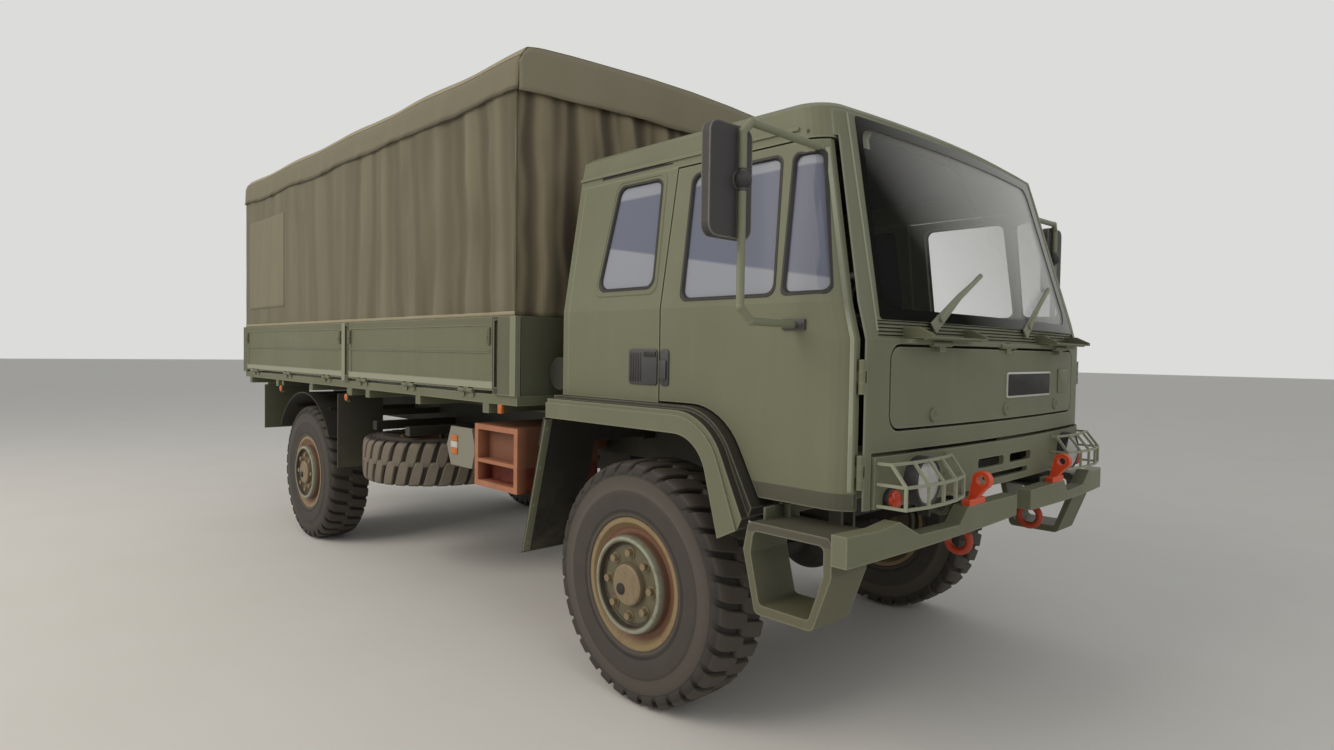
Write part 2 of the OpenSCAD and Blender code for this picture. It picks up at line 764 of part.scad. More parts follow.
module tailgate() {
    wide = body_half - 70;
    color("#767860") {
        difference() {
            union() {
                block(-body_back + 26, -body_back + 48, -wide, wide, 1322, side_top - 2);
                for (z = [1320, 1516, side_top - 46]) block(-body_back + 20, -body_back + 54, -wide, wide, z, z + (z == 1516 ? 16 : 46));
                for (y = [-wide + 20, -400, 400, wide - 20]) block(-body_back + 20, -body_back + 54, y - 20, y + 20, 1320, side_top);
            }
            for (y = [-800, 0, 800]) translate([-body_back + 22, y, hinge_z]) rotate([90, 0, 0]) hinge_room_turning(150);
        }
        for (y = [-800, 0, 800]) {
            translate([-body_back + 22, y, hinge_z]) rotate([90, 0, 0]) hinge_turning(150);
            difference() {
                block(-body_back + 20, -body_back + 34, y - 22, y + 22, hinge_z + 2, 1340);
                translate([-body_back + 22, y, hinge_z]) rotate([90, 0, 0]) cylinder(h = 60, r = pin_r + 0.08, center = true);
            }
        }
    }
}

module headboard() {
    color("#5B5C49") {
        block(-body_front - 40, -body_front - 8, -body_half + 40, body_half - 40, 1301.2, side_top);
        for (y = [-900, -450, 0, 450, 900]) block(-body_front - 9, -body_front, y - 25, y + 25, 1301.2, side_top);
    }
}

module body_posts() {
    color("#767860") both_sides() {
        difference() {
            block(-body_front - 210, -body_front, -body_half, -body_half + 30, 1301.2, side_top);
            block(-body_front - 200, -body_front - 165, -body_half - 1, -body_half + 16, 1340, side_top - 20);
        }
        difference() {
            block(-mid_post - post_w / 2, -mid_post + post_w / 2, -body_half - 4, -body_half + 30, 1301.2, side_top);
            block(-mid_post + 4, -mid_post + post_w / 2 - 10, -body_half - 5, -body_half + 16, 1340, side_top - 20);
        }
        block(-body_back, -body_back + 105, -body_half, -body_half + 30, 1301.2, side_top);
    }
}

// Cover
function cover_side(o) = [
    [-body_half + 12 + o, hem_z - 1], [-body_half + 12 + o, valance_z], [-body_half + 12 + o, cover_eave - 20],
    [-body_half + 24 + o, cover_eave + 8 - o / 2], [-body_half + 61 + o * 0.8, cover_eave + 57 - o],
    [-body_half + 140, cover_top - 46 - o], [-703, cover_top - 22 - o],
    [-350, cover_top - 6 - o], [0, cover_top - o], [350, cover_top - 6 - o], [703, cover_top - 22 - o], [body_half - 140, cover_top - 46 - o],
    [body_half - 61 - o * 0.8, cover_eave + 57 - o], [body_half - 24 - o, cover_eave + 8 - o / 2], [body_half - 12 - o, cover_eave - 20],
    [body_half - 12 - o, valance_z], [body_half - 12 - o, hem_z - 1]
];

module canopy_top() {
    color("#817B66") difference() {
        front_prism(cover_side(0), -body_back + 20, -body_front - 10);
        front_prism(cover_side(canvas), -body_back - 1, -body_front - 20);
        block(-body_back - 1, 0, -2000, 2000, 0, valance_z);
    }
}

module canopy_sides() {
    color("#736C57") difference() {
        front_prism(cover_side(canvas + 0.3), -body_back + 24, -body_front - 40);
        front_prism(cover_side(2 * canvas), -body_back - 1, -body_front - 52);
        block(-body_back - 1, 0, -2000, 2000, cover_eave - 30, 4000);
        block(-body_back - 1, 0, -2000, 2000, 0, hem_z);
    }
}

function bow_line(z0) = let (w = body_half - 12 - 2 * canvas - 17.3) [
    [-w, z0], [-w, cover_eave - 70], [-w + 60, cover_eave + 9], [-600, cover_top - 54], [0, cover_top - 40],
    [600, cover_top - 54], [w - 60, cover_eave + 9],
    [w, cover_eave - 70], [w, z0]
];

module canopy_bows() {
    w = body_half - 12 - 2 * canvas - 17.3;
    posts = [-body_front - 100, -mid_post, -body_back + 60];
    color("#4B4A40") {
        for (x = posts) front_prism(strip(bow_line(side_top - 60), 34), x - 17, x + 17);
        for (x = [-(body_front + mid_post) / 2 + 4, -(mid_post + body_back) / 2 + 4])
            front_prism(strip(bow_line(cover_eave - 120), 34), x - 17, x + 17);
        both_sides() {
            block(-body_back + 60, -body_front - 100, -w - 12, -w + 12, cover_eave - 130, cover_eave - 100);
            for (x = posts) block(x - 30, x + 30, -body_half + 30.3, -w + 17, 1340, side_top - 30);
        }
    }
}

// Cab shell
function plan(o, hw, xf, n = 8) = concat(
    [for (i = [0:n]) let (a = 90 * i / n)
        [xf - front_bow - corner_r + (corner_r + o) * sin(a), -(hw - corner_r) - (corner_r + o) * cos(a)]],
    [for (i = [1:9]) let (t = -1 + i / 5) [xf + o - front_bow * t * t, t * (hw - corner_r)]],
    [for (i = [n:-1:0]) let (a = 90 * i / n)
        [xf - front_bow - corner_r + (corner_r + o) * sin(a), (hw - corner_r) + (corner_r + o) * cos(a)]],
    [[-cab_back - o, hw + o], [-cab_back - o, -hw - o]]
);

module cab_plan_prism(o, z0, z1) {
    translate([0, 0, z0]) linear_extrude(height = z1 - z0) polygon(plan(o, cab_half, cab_front));
}

function lean_x(z) = cab_front - max(0, z - brow_z) * rake;

// Outer shape of the cab, drawn in by t
module cab_shape(t) {
    hull() {
        for (s = [
            [900, cab_half, cab_front], [brow_z, cab_half, cab_front], [waist_z, cab_half, lean_x(waist_z)],
            [gutter_z, gutter_half, lean_x(gutter_z)], [roof_z - 45 - t * 0.4, gutter_half - 18, lean_x(roof_z - 45)],
            [roof_z - 12 - t * 0.9, gutter_half - 70, lean_x(roof_z - 45) - 45],
            [roof_z - t, gutter_half - 240, lean_x(roof_z - 45) - 170]
        ]) translate([0, 0, s[0]]) linear_extrude(height = 0.1) polygon(plan(-t, s[1], s[2]));
    }
}

// The cab between the waist and the gutter, drawn in by t
module window_shape(t) {
    hull() for (s = [[waist_z, cab_half], [gutter_z, gutter_half]])
        translate([0, 0, s[0]]) linear_extrude(height = 0.1) polygon(plan(-t, s[1], lean_x(s[0])));
}

module cab_shell() {
    difference() {
        cab_shape(0);
        cab_shape(wall);
    }
}

// Door outline in X and Z, drawn in by g
function door_outline(g) = concat(
    [[door_rear + g, sill_z + g], [arch_x, sill_z + g]],
    [for (i = [1:8]) [
        arch_x + (arch_r + g) * sin(arch_turn * i / 8),
        sill_z - arch_r + (arch_r + g) * cos(arch_turn * i / 8)
    ]],
    [[arch_x + arch_r * sin(arch_turn) + (sill_z - arch_r + arch_r * cos(arch_turn) - door_low) / tan(arch_turn) + g, door_low],
     [door_front - g, door_low], [door_front - g, brow_z],
     [door_front - g - (gutter_z - 40 - g - brow_z) * rake, gutter_z - 40 - g], [door_rear + g, gutter_z - 40 - g]]
);

function vent_window(g) = rounded([[735 + g, 1752 + g], [946 - g, 1752 + g], [836 - g, 2278 - g], [717 + g, 2278 - g]], 26);
function main_window(g) = rounded([[211 + g, 1750 + g], [701 - g, 1750 + g], [662 - g, 2284 - g], [192 + g, 2284 - g]], 40);
function quarter_window(g) = rounded([[-345 + g, 1812 + g], [32 - g, 1812 + g], [5 - g, 2298 - g], [-285 + g, 2298 - g]], 45);
function screen(g) = rounded([[-905 + g, 1696 + g], [905 - g, 1696 + g], [785 - g, 2412 - g], [-785 + g, 2412 - g]], 70);
function flap_outline(g) = rounded([[-flap_half + g, flap_low + g], [flap_half - g, flap_low + g],
    [flap_half - g, flap_top - g], [-flap_half + g, flap_top - g]], 60 - g);

module front_region(z0) {
    side_prism([[door_front + 0.2, z0], [1400, z0], [1400, roof_z - 58], [door_front + 0.2 - (roof_z - 58 - brow_z) * rake, roof_z - 58],
        [door_front + 0.2, brow_z]], -1300, 1300);
}

module door_hinges() {
    both_sides() for (z = [1130, 1460]) translate([door_axis_x, -door_axis_y, z]) children();
}

module flap_hinges() {
    for (y = [-600, 0, 600]) translate([cab_front + 3, y, flap_axis_z]) rotate([90, 0, 0]) children();
}

module cab_front_panel() {
    color("#767860") {
        difference() {
            intersection() {
                cab_shell();
                front_region(door_low);
            }
            block(0, 1400, -990, 990, 900, 1195);
            front_prism(screen(0), 600, 1300);
            front_prism(flap_outline(0), 900, 1300);
            block(900, 1300, -960, 960, 1596, 1660);
            door_hinges() hinge_room_fixed(120);
            both_sides() side_prism([[700, 900], [door_front + shut_gap, 900], [door_front + shut_gap, brow_z],
                [door_front + shut_gap - (gutter_z - 30 - brow_z) * rake, gutter_z - 30], [700, gutter_z - 30]], -1300, -900);
            flap_hinges() hinge_room_fixed(150);
        }
        door_hinges() hinge_fixed(120);
        difference() {
            front_prism(box2(-830, 830, flap_axis_z - 2, 1595.8), cab_front - wall, cab_front + 4);
            flap_hinges() hinge_room_fixed(150);
        }
        flap_hinges() hinge_fixed(150);
    }
}

module front_flap() {
    color("#767860") {
        difference() {
            intersection() {
                difference() {
                    cab_shape(0);
                    cab_shape(24);
                }
                front_prism(flap_outline(shut_gap), 900, 1300);
            }
            flap_hinges() hinge_room_turning(150);
        }
        flap_hinges() hinge_turning(150);
        for (y = [-600, 0, 600]) difference() {
            block(cab_front - 35, cab_front + 10, y - 22, y + 22, flap_axis_z - 30, flap_axis_z - 6);
            translate([cab_front + 3, y, flap_axis_z]) rotate([90, 0, 0]) cylinder(h = 60, r = pin_r + 0.08, center = true);
        }
    }
}

module scuttle() {
    color("#4A494D") {
        difference() {
            union() {
                intersection() {
                    cab_shape(6);
                    union() for (i = [0:4]) block(900, 1300, -959.7, 959.7, 1596.3 + i * 13.2, 1604 + i * 13.2);
                }
                intersection() {
                    cab_shape(20);
                    block(900, 1300, -959.7, 959.7, 1596.3, 1659.7);
                }
            }
            cab_shape(34);
        }
    }
    color("#767860") both_sides() {
        block(1062, 1180, -800, -360, 1598, 1604);
        for (y = [-800, -372]) side_prism([[1062, 1603], [1180, 1603], [1180, 1612], [1120, 1640], [1062, 1640]], y, y + 12);
        bar([1150, -800, 1600], [1150, -360, 1600], 7);
    }
}

function front_x(y, z) = lean_x(z) - front_bow * pow(y / (cab_half - corner_r), 2);

module wipers() {
    color("#24211C") for (y = [-560, 260]) {
        x = front_x(y, 1680);
        translate([x + 4, y, 1680]) rotate([0, 90, 0]) cylinder(h = 22, r = 14);
        bar([x + 16, y, 1680], [front_x(y + 330, 1830) + 8, y + 330, 1830], 7);
        bar([front_x(y + 190, 1766) + 1, y + 190, 1766], [front_x(y + 450, 1884) + 1, y + 450, 1884], 6);
    }
}

module cab_roof() {
    color("#767860") {
        difference() {
            intersection() {
                cab_shell();
                block(-700, 1300, -1300, 1300, gutter_z - 40, 2700);
            }
            front_region(900);
        }
        both_sides() block(-cab_back, lean_x(gutter_z) - front_bow - corner_r, -gutter_half - 10, -gutter_half + 10, gutter_z - 6, gutter_z + 6);
    }
}

module cab_sides() {
    color("#767860") difference() {
        intersection() {
            cab_shell();
            both_sides() side_prism([[-cab_back + wall, sill_z], [door_rear - 0.2, sill_z], [door_rear - 0.2, gutter_z - 40],
                [-cab_back + wall, gutter_z - 40]], -1300, -700);
        }
        both_sides() side_prism(quarter_window(0), -1300, -700);
    }
}

module cab_rear() {
    top = gutter_z - 40;
    narrow = cab_half - (cab_half - gutter_half) * (top - waist_z) / (gutter_z - waist_z);
    color("#767860") front_prism([[-cab_half, sill_z], [cab_half, sill_z], [cab_half, waist_z], [narrow, top], [-narrow, top],
        [-cab_half, waist_z]], -cab_back, -cab_back + wall);
}

function floor_line(o) = concat(
    [[-cab_back + wall, sill_z + o]],
    [for (i = [0:12]) [arch_x + (arch_r + o) * sin(arch_turn * i / 12), sill_z - arch_r + (arch_r + o) * cos(arch_turn * i / 12)]],
    [[650 + o * 1.2, door_low + o * 0.9], [850 + (o > 0 ? -20 : 0), door_low + o * 0.9], [850 + (o > 0 ? -20 : 0), 1110],
     [950 - (o > 0 ? 22 : 0), 1182 + o * 0.5], [1030 - (o > 0 ? 10 : 0), 1200 + o * 0.6]]
);
function tunnel_line(o) = [[-cab_back + wall, sill_z + o], [900 + o * 0.3, sill_z + o], [1030 - (o > 0 ? 10 : 0), 1200 + o * 0.6]];

// Floor with low footwells outside the rails and a tunnel over the engine
module cab_floor() {
    inner = rail_y + 15;
    foot = cab_half - wall - 8;
    low = floor_line(0);
    color("#5B5C49") {
        intersection() {
            both_sides() side_prism(concat(low, backwards(floor_line(34))), -foot, -inner);
            cab_shape(wall);
        }
        side_prism(concat(tunnel_line(0), backwards(tunnel_line(34))), -inner - 34, inner + 34);
        both_sides() side_prism(concat([for (i = [1:len(low) - 1]) low[i]], [[1020, 1220], [910, sill_z + 34], [arch_x, sill_z + 34]]),
            -inner - 34, -inner);
        both_sides() difference() {
            union() {
                side_prism([[760, door_low + 1], [840, door_low + 1], [tilt_x + 10, tilt_z - 25], [tilt_x - 10, tilt_z - 32]],
                    -rail_y - 40, -rail_y - 12);
                translate([tilt_x, -rail_y - 12, tilt_z]) rotate([90, 0, 0]) cylinder(h = 28, r = 34);
            }
            translate([tilt_x, -rail_y, tilt_z]) rotate([90, 0, 0]) cylinder(h = 80, r = 16.08);
        }
    }
}

module cab_glass() {
    color("#8F939C", 0.5) {
        intersection() {
            difference() {
                cab_shape(10);
                cab_shape(18);
            }
            front_prism(screen(0.3), 600, 1300);
        }
        intersection() {
            difference() {
                window_shape(10);
                window_shape(18);
            }
            both_sides() side_prism(quarter_window(0.3), -1300, -700);
        }
    }
}

module seat(y, half) {
    block(-240, 200, y - half + 30, y + half - 30, sill_z + 34, 1490);
    side_prism(rounded([[-260, 1490], [250, 1490], [250, 1610], [-260, 1590]], 40), y - half, y + half);
    side_prism(rounded([[-300, 1560], [-180, 1560], [-270, 2160], [-380, 2160]], 45), y - half, y + half);
}

module seats() {
    color("#3A3833") {
        seat(-560, 250);
        seat(470, 420);
    }
}

module steering_column() {
    translate([600, -560, 1700]) rotate([0, -50, 0]) children();
}

module dashboard() {
    color("#3A3833") {
        difference() {
            side_prism(rounded([[760, 1500], [985, 1440], [985, 1640], [820, 1650]], 30), -930, 930);
            steering_column() translate([0, 0, -240.2]) cylinder(h = 200, r = 24.2);
        }
        for (y = [-920, 900]) side_prism([[935, 1201], [1000, 1216.2], [975, 1500], [935, 1500]], y, y + 20);
    }
}

module steering_wheel() {
    color("#24211C") steering_column() {
        rotate_extrude() translate([215, 0]) circle(r = 15);
        translate([0, 0, -20]) cylinder(h = 30, r = 45);
        translate([0, 0, -240]) cylinder(h = 222, r = 24);
        for (a = [0, 90]) rotate([0, 0, a]) block(-206, 206, -14, 14, -8, 8);
    }
}

module door() {
    color("#767860") {
        difference() {
            intersection() {
                cab_shell();
                side_prism(door_outline(shut_gap - 2), -1300, -700);
            }
            side_prism(main_window(0), -1300, -700);
            side_prism(vent_window(0), -1300, -700);
            front_prism([[-cab_half + 70, 900], [-cab_half + 70, waist_z], [-gutter_half + 70, gutter_z], [-700, gutter_z], [-700, 900]],
                940 - (gutter_z - brow_z) * rake, 1300);
            for (z = [1130, 1460]) translate([door_axis_x, -door_axis_y, z]) hinge_room_turning(120);
        }
        for (z = [1130, 1460]) translate([door_axis_x, -door_axis_y, z]) hinge_turning(120);
        for (z = [1130, 1460]) difference() {
            block(door_front - 40, door_front + 6, -door_axis_y - 4, -door_axis_y + 12, z - 19, z + 19);
            translate([door_axis_x, -door_axis_y, z]) cylinder(h = 60, r = pin_r + 0.08, center = true);
        }
    }
}

module door_glass() {
    color("#8F939C", 0.5) intersection() {
        difference() {
            window_shape(12);
            window_shape(20);
        }
        union() {
            side_prism(main_window(0.3), -1300, -700);
            side_prism(vent_window(0.3), -1300, -700);
        }
    }
}

module mirror_arm() {
    color("#3B383A") {
        difference() {
            bent([[800, -1060, 1640], [800, -1340, 1644], [790, -1385, 1690], [790, -1385, 2270], [796, -1350, 2306], [816, -940, 2290]], 14);
            cab_plan_prism(0.2, sill_z, waist_z);
            window_shape(-0.2);
        }
        translate([790, -1385, 2110]) sphere(r = 32);
        front_prism(rounded(box2(-1530, -1320, 1915, 2290), 40), 740, 777);
        block(776, 792, -1400, -1370, 2095, 2125);
    }
}

// Node to show, or all

translate([axle_x, 0, 0]) {
    chassis_frame();
    front_axle();
    rear_axle();
    leaf_springs();
    engine();
    driveline();
    bumper();
    tow_eyes();
    tow_hooks();
    lamp_panel();
    lamps();
    lamp_guards();
    cab_steps();
    fuel_tank();
    air_tanks();
    battery_box();
    spare_tyre();
    spare_rim();
    mudguards();
    cargo_floor();
    headboard();
    body_posts();
    canopy_bows();
    canopy_top();
    canopy_sides();
    cab_floor();
    cab_rear();
    cab_roof();
    cab_sides();
    cab_front_panel();
    cab_glass();
    seats();
    dashboard();
    steering_wheel();
    scuttle();
    wipers();
    arch_flares();
    front_flap();
    door();  // door_right
    mirror([0, 1, 0]) door();  // door_left
    door_glass();  // door_glass_right
    mirror([0, 1, 0]) door_glass();  // door_glass_left
    mirror_arm();  // mirror_right
    mirror([0, 1, 0]) mirror_arm();  // mirror_left
    drop_side(-body_front - 218, -mid_post + post_w / 2 + 8);  // side_right_front
    drop_side(-mid_post - post_w / 2 - 8, -body_back + 113);  // side_right_rear
    mirror([0, 1, 0]) drop_side(-body_front - 218, -mid_post + post_w / 2 + 8);  // side_left_front
    mirror([0, 1, 0]) drop_side(-mid_post - post_w / 2 - 8, -body_back + 113);  // side_left_rear
    tailgate();
    mirror([0, 1, 0]) knuckle();  // knuckle_right
    knuckle();  // knuckle_left
    tyre(0, -1);  // tyre_front_right
    tyre(0, 1);  // tyre_front_left
    tyre(-wheelbase, -1);  // tyre_rear_right
    tyre(-wheelbase, 1);  // tyre_rear_left
    wheel(0, -1);  // wheel_front_right
    wheel(0, 1);  // wheel_front_left
    wheel(-wheelbase, -1);  // wheel_rear_right
    wheel(-wheelbase, 1);  // wheel_rear_left
}
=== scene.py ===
# %% [markdown]
# # An off-road cargo truck, dressed for its picture
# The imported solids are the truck's metalwork: frame, cab, drop sides, wheels and hinges.
# This lesson adds what solids can't show: canvas with folds, lugged tyres, lamps, rubber
# seals, padded seats and a worn coat of paint. Every piece is in metres, in the solids' frame.

import math
from functools import partial

import bmesh
import bpy
from mathutils import Matrix, Vector, noise


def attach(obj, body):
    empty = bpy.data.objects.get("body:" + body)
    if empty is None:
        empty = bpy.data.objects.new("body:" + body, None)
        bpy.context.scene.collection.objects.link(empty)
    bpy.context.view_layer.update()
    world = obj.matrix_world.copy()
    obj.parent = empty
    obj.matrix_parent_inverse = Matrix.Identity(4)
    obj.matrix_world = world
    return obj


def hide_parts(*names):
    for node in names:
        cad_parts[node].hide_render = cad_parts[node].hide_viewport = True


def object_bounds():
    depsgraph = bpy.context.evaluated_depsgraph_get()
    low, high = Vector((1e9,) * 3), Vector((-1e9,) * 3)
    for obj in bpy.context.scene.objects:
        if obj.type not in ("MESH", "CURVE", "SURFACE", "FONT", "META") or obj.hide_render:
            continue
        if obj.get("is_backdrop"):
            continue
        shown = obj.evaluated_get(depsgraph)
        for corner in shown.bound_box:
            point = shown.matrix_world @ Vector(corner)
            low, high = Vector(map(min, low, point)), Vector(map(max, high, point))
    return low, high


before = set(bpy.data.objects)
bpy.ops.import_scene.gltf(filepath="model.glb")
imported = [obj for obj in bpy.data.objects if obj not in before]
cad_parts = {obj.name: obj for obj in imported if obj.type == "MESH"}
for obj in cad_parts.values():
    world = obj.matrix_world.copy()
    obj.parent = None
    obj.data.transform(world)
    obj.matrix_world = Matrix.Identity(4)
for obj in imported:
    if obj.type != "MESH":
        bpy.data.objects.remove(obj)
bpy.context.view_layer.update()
AXLE_X = 2.090
HANDS = (("right", -1), ("left", 1))


def at(x, y, z):
    """A point given in millimetres from the front axle, as the solids' source gives it."""
    return Vector((x / 1000 + AXLE_X, y / 1000, z / 1000))


# %% [markdown]
# The camera stands at the height of a person's eyes, close to the right front wheel. A short
# lens that close makes the wheel large and lets the load body run away quickly, so the place
# and the lens go together: both come from the straight lines and sizes of the truck.

# %% Camera
eye = Vector((4.568, -3.336, 1.534))
yaw, pitch, roll = (math.radians(a) for a in (136.2, -1.683, 0.893))
ahead = Vector((math.cos(yaw) * math.cos(pitch), math.sin(yaw) * math.cos(pitch), math.sin(pitch)))
level = ahead.cross(Vector((0, 0, 1))).normalized()
above = level.cross(ahead)
across = level * math.cos(roll) + above * math.sin(roll)
upward = above * math.cos(roll) - level * math.sin(roll)

lens = bpy.data.cameras.new("camera")
lens.sensor_fit = "HORIZONTAL"
lens.sensor_width = 36.0
lens.lens = 20.739
lens.clip_end = 200.0
camera = bpy.data.objects.new("camera", lens)
camera.matrix_world = Matrix.Translation(eye) @ Matrix((across, upward, -ahead)).transposed().to_4x4()
bpy.context.scene.collection.objects.link(camera)
bpy.context.scene.camera = camera
print("camera at", [round(v, 3) for v in eye])

# %% [markdown]
# Colours are written as sRGB hex, as a painter would read them off a card, and one function
# turns them into the linear values that the shaders work with. Two more add a shader node and
# feed its inputs, and the last puts a mesh into the scene.


# %% Colour, node and mesh helpers
def linear(code):
    """Linear colour from an sRGB hex code, with full alpha."""
    parts = [int(code[i:i + 2], 16) / 255 for i in (1, 3, 5)]
    return [c / 12.92 if c <= 0.04045 else ((c + 0.055) / 1.055) ** 2.4 for c in parts] + [1.0]


def feed(tree, node, values):
    """Sets a node's inputs to numbers or colours, or links them to sockets."""
    for name, value in values.items():
        if isinstance(value, bpy.types.NodeSocket):
            tree.links.new(value, node.inputs[name])
        else:
            node.inputs[name].default_value = value


def add(tree, kind, values=None, **settings):
    """Adds a shader node with its settings, and feeds its inputs."""
    node = tree.nodes.new("ShaderNode" + kind)
    for name, value in settings.items():
        setattr(node, name, value)
    feed(tree, node, values or {})
    return node


def as_object(name, shape, coat=None):
    """Turns a bmesh into an object in the scene."""
    mesh = bpy.data.meshes.new(name)
    shape.to_mesh(mesh)
    shape.free()
    if coat:
        mesh.materials.append(coat)
    made = bpy.data.objects.new(name, mesh)
    bpy.context.scene.collection.objects.link(made)
    return made


print("helpers ready")

# %% [markdown]
# A finish is mixed like paint in a pot. It starts with a base colour, others are laid over it
# through masks such as noise, worn edges or bands, and the result is joined to the shader.


# %% Finish mixer
class Finish:
    """A material being mixed: its node tree, its object coordinates and its colour so far."""

    def __init__(self, name, base, roughness, ior=1.5):
        self.material = bpy.data.materials.new(name)
        self.material.use_nodes = True
        self.tree = self.material.node_tree
        self.place = self.add("TexCoord").outputs["Object"]
        self.colour = base
        self.feed({"Roughness": roughness, "IOR": ior})

    def add(self, kind, values=None, **settings):
        return add(self.tree, kind, values, **settings)

    def feed(self, values):
        """Sets or links inputs of the shader itself."""
        feed(self.tree, self.tree.nodes["Principled BSDF"], values)

    def axes(self):
        return self.add("SeparateXYZ", {"Vector": self.place}).outputs

    def maths(self, operation, *values):
        return self.add("Math", dict(enumerate(values)), operation=operation).outputs[0]

    def times(self, first, second):
        return self.maths("MULTIPLY", first, second)

    def spread(self, value, low, high, least=0.0, most=1.0):
        """Carries the range from low to high onto least to most, and stops at its ends."""
        limits = {"Value": value, "From Min": low, "From Max": high, "To Min": least, "To Max": most}
        return self.add("MapRange", limits).outputs["Result"]

    def between(self, value, low, high, soft=0.0015):
        """1 where a value lies between low and high, and 0 elsewhere."""
        up = self.spread(value, low - soft, low + soft)
        return self.times(up, self.spread(value, high + soft, high - soft))

    def speckle(self, size_mm, low, high, detail=4.0, stretch=(1, 1, 1), place=None):
        """Noise with cells of about size_mm, spread from 0 to 1 between low and high."""
        start = self.place if place is None else place
        turned = self.add("Mapping", {"Vector": start, "Scale": stretch}).outputs["Vector"]
        grain = {"Vector": turned, "Scale": 1000 / size_mm, "Detail": detail, "Roughness": 0.6}
        return self.spread(self.add("TexNoise", grain).outputs["Fac"], low, high)

    def worn_edges(self, radius_mm, low=0.98, high=0.7):
        """1 along sharp edges and 0 on flats: how far a rounded normal turns from the true one."""
        soft = self.add("Bevel", {"Radius": radius_mm / 1000}, samples=4).outputs["Normal"]
        true = self.add("NewGeometry").outputs["Normal"]
        agree = self.add("VectorMath", {0: soft, 1: true}, operation="DOT_PRODUCT").outputs["Value"]
        return self.spread(agree, low, high)

    def weave(self, scale, place):
        """Threads of a plain weave: waves along and across."""
        warp, weft = (
            self.add("TexWave", {"Vector": place, "Scale": scale}, bands_direction=axis).outputs["Fac"]
            for axis in "XY"
        )
        return self.times(warp, weft)

    def mix(self, share, first, second):
        """First colour where share is 0, second where it is 1: hex codes or sockets."""
        a, b = (linear(c) if isinstance(c, str) else c for c in (first, second))
        return self.add("Mix", {0: share, 6: a, 7: b}, data_type="RGBA").outputs[2]

    def lay(self, share, colour, strength=1.0):
        """Lays a colour over the finish, as thickly as share times strength."""
        self.colour = self.mix(self.times(share, strength), self.colour, colour)

    def done(self, height=None, strength=0.0, distance_mm=0.0):
        """Joins the colour, and a bump where there is one, to the shader."""
        self.feed({"Base Color": self.colour})
        if height is not None:
            relief = {"Height": height, "Strength": strength, "Distance": distance_mm / 1000}
            self.feed({"Normal": self.add("Bump", relief).outputs["Normal"]})
        return self.material


print("mixer ready")

# %% [markdown]
# The picture shows the truck on its own, so the stage is a plain pale floor under a pale sky.
# One large soft lamp stands on the right and above, where the truck's lit side is, and a weaker
# one in front. Sky and lamps together are about as bright as one, so a paint renders as mixed.

# %% Floor, sky and lamps
ground = bmesh.new()
bmesh.ops.create_grid(ground, x_segments=1, y_segments=1, size=90.0)
chalk = Finish("chalk_floor", "#EFEDE8", 0.9)
chalk.lay(chalk.speckle(900, 0.3, 0.7), "#F2F0EC")
floor = as_object("floor", ground, chalk.done())
floor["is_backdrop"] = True

sky = bpy.data.worlds.new("pale_sky")
sky.use_nodes = True
heaven = sky.node_tree
light = heaven.nodes["Background"]
feed(heaven, light, {"Color": linear("#E9EAEA"), "Strength": 0.42})
backdrop = add(heaven, "Background", {"Color": linear("#DCDCDA")})
ray = add(heaven, "LightPath").outputs
seen = add(heaven, "Math", {0: ray["Is Camera Ray"], 1: ray["Is Glossy Ray"]}, operation="ADD").outputs[0]
through = {0: seen, 1: ray["Is Transmission Ray"]}
seen = add(heaven, "Math", through, operation="ADD", use_clamp=True).outputs[0]
both = add(heaven, "MixShader", {0: seen, 1: light.outputs[0], 2: backdrop.outputs[0]})
feed(heaven, heaven.nodes["World Output"], {"Surface": both.outputs[0]})
bpy.context.scene.world = sky


def soft_lamp(name, place, target, size, power, tint):
    """A square area lamp that points at a target."""
    glow = bpy.data.lights.new(name, "AREA")
    glow.shape = "SQUARE"
    glow.size = size
    glow.energy = power
    glow.color = linear(tint)[:3]
    made = bpy.data.objects.new(name, glow)
    made.location = place
    made.rotation_euler = (Vector(target) - Vector(place)).to_track_quat("-Z", "Y").to_euler()
    bpy.context.scene.collection.objects.link(made)


soft_lamp("key_lamp", (-2.0, -11.0, 8.0), (0.5, 0.0, 1.2), 8.0, 690.0, "#FFF6E8")
soft_lamp("front_lamp", (11.0, -3.0, 7.0), (1.5, 0.0, 1.2), 7.0, 125.0, "#F6F6F2")
bpy.context.scene.view_settings.view_transform = "Standard"
print("stage set")

# %% [markdown]
# The body colour is a matt olive field paint, sprayed and then brushed over for years. Matt
# paint scatters light, so it shows broad faded patches, paler edges that are rubbed and carry a
# painted highlight, and road dust that gathers low down. The same recipe with other colours paints
# the frame, the tow gear and more.

# %% Field paint recipe
RUBBED_AND_HIGHLIGHT = "#979A84"
ROAD_DUST = "#6F6853"


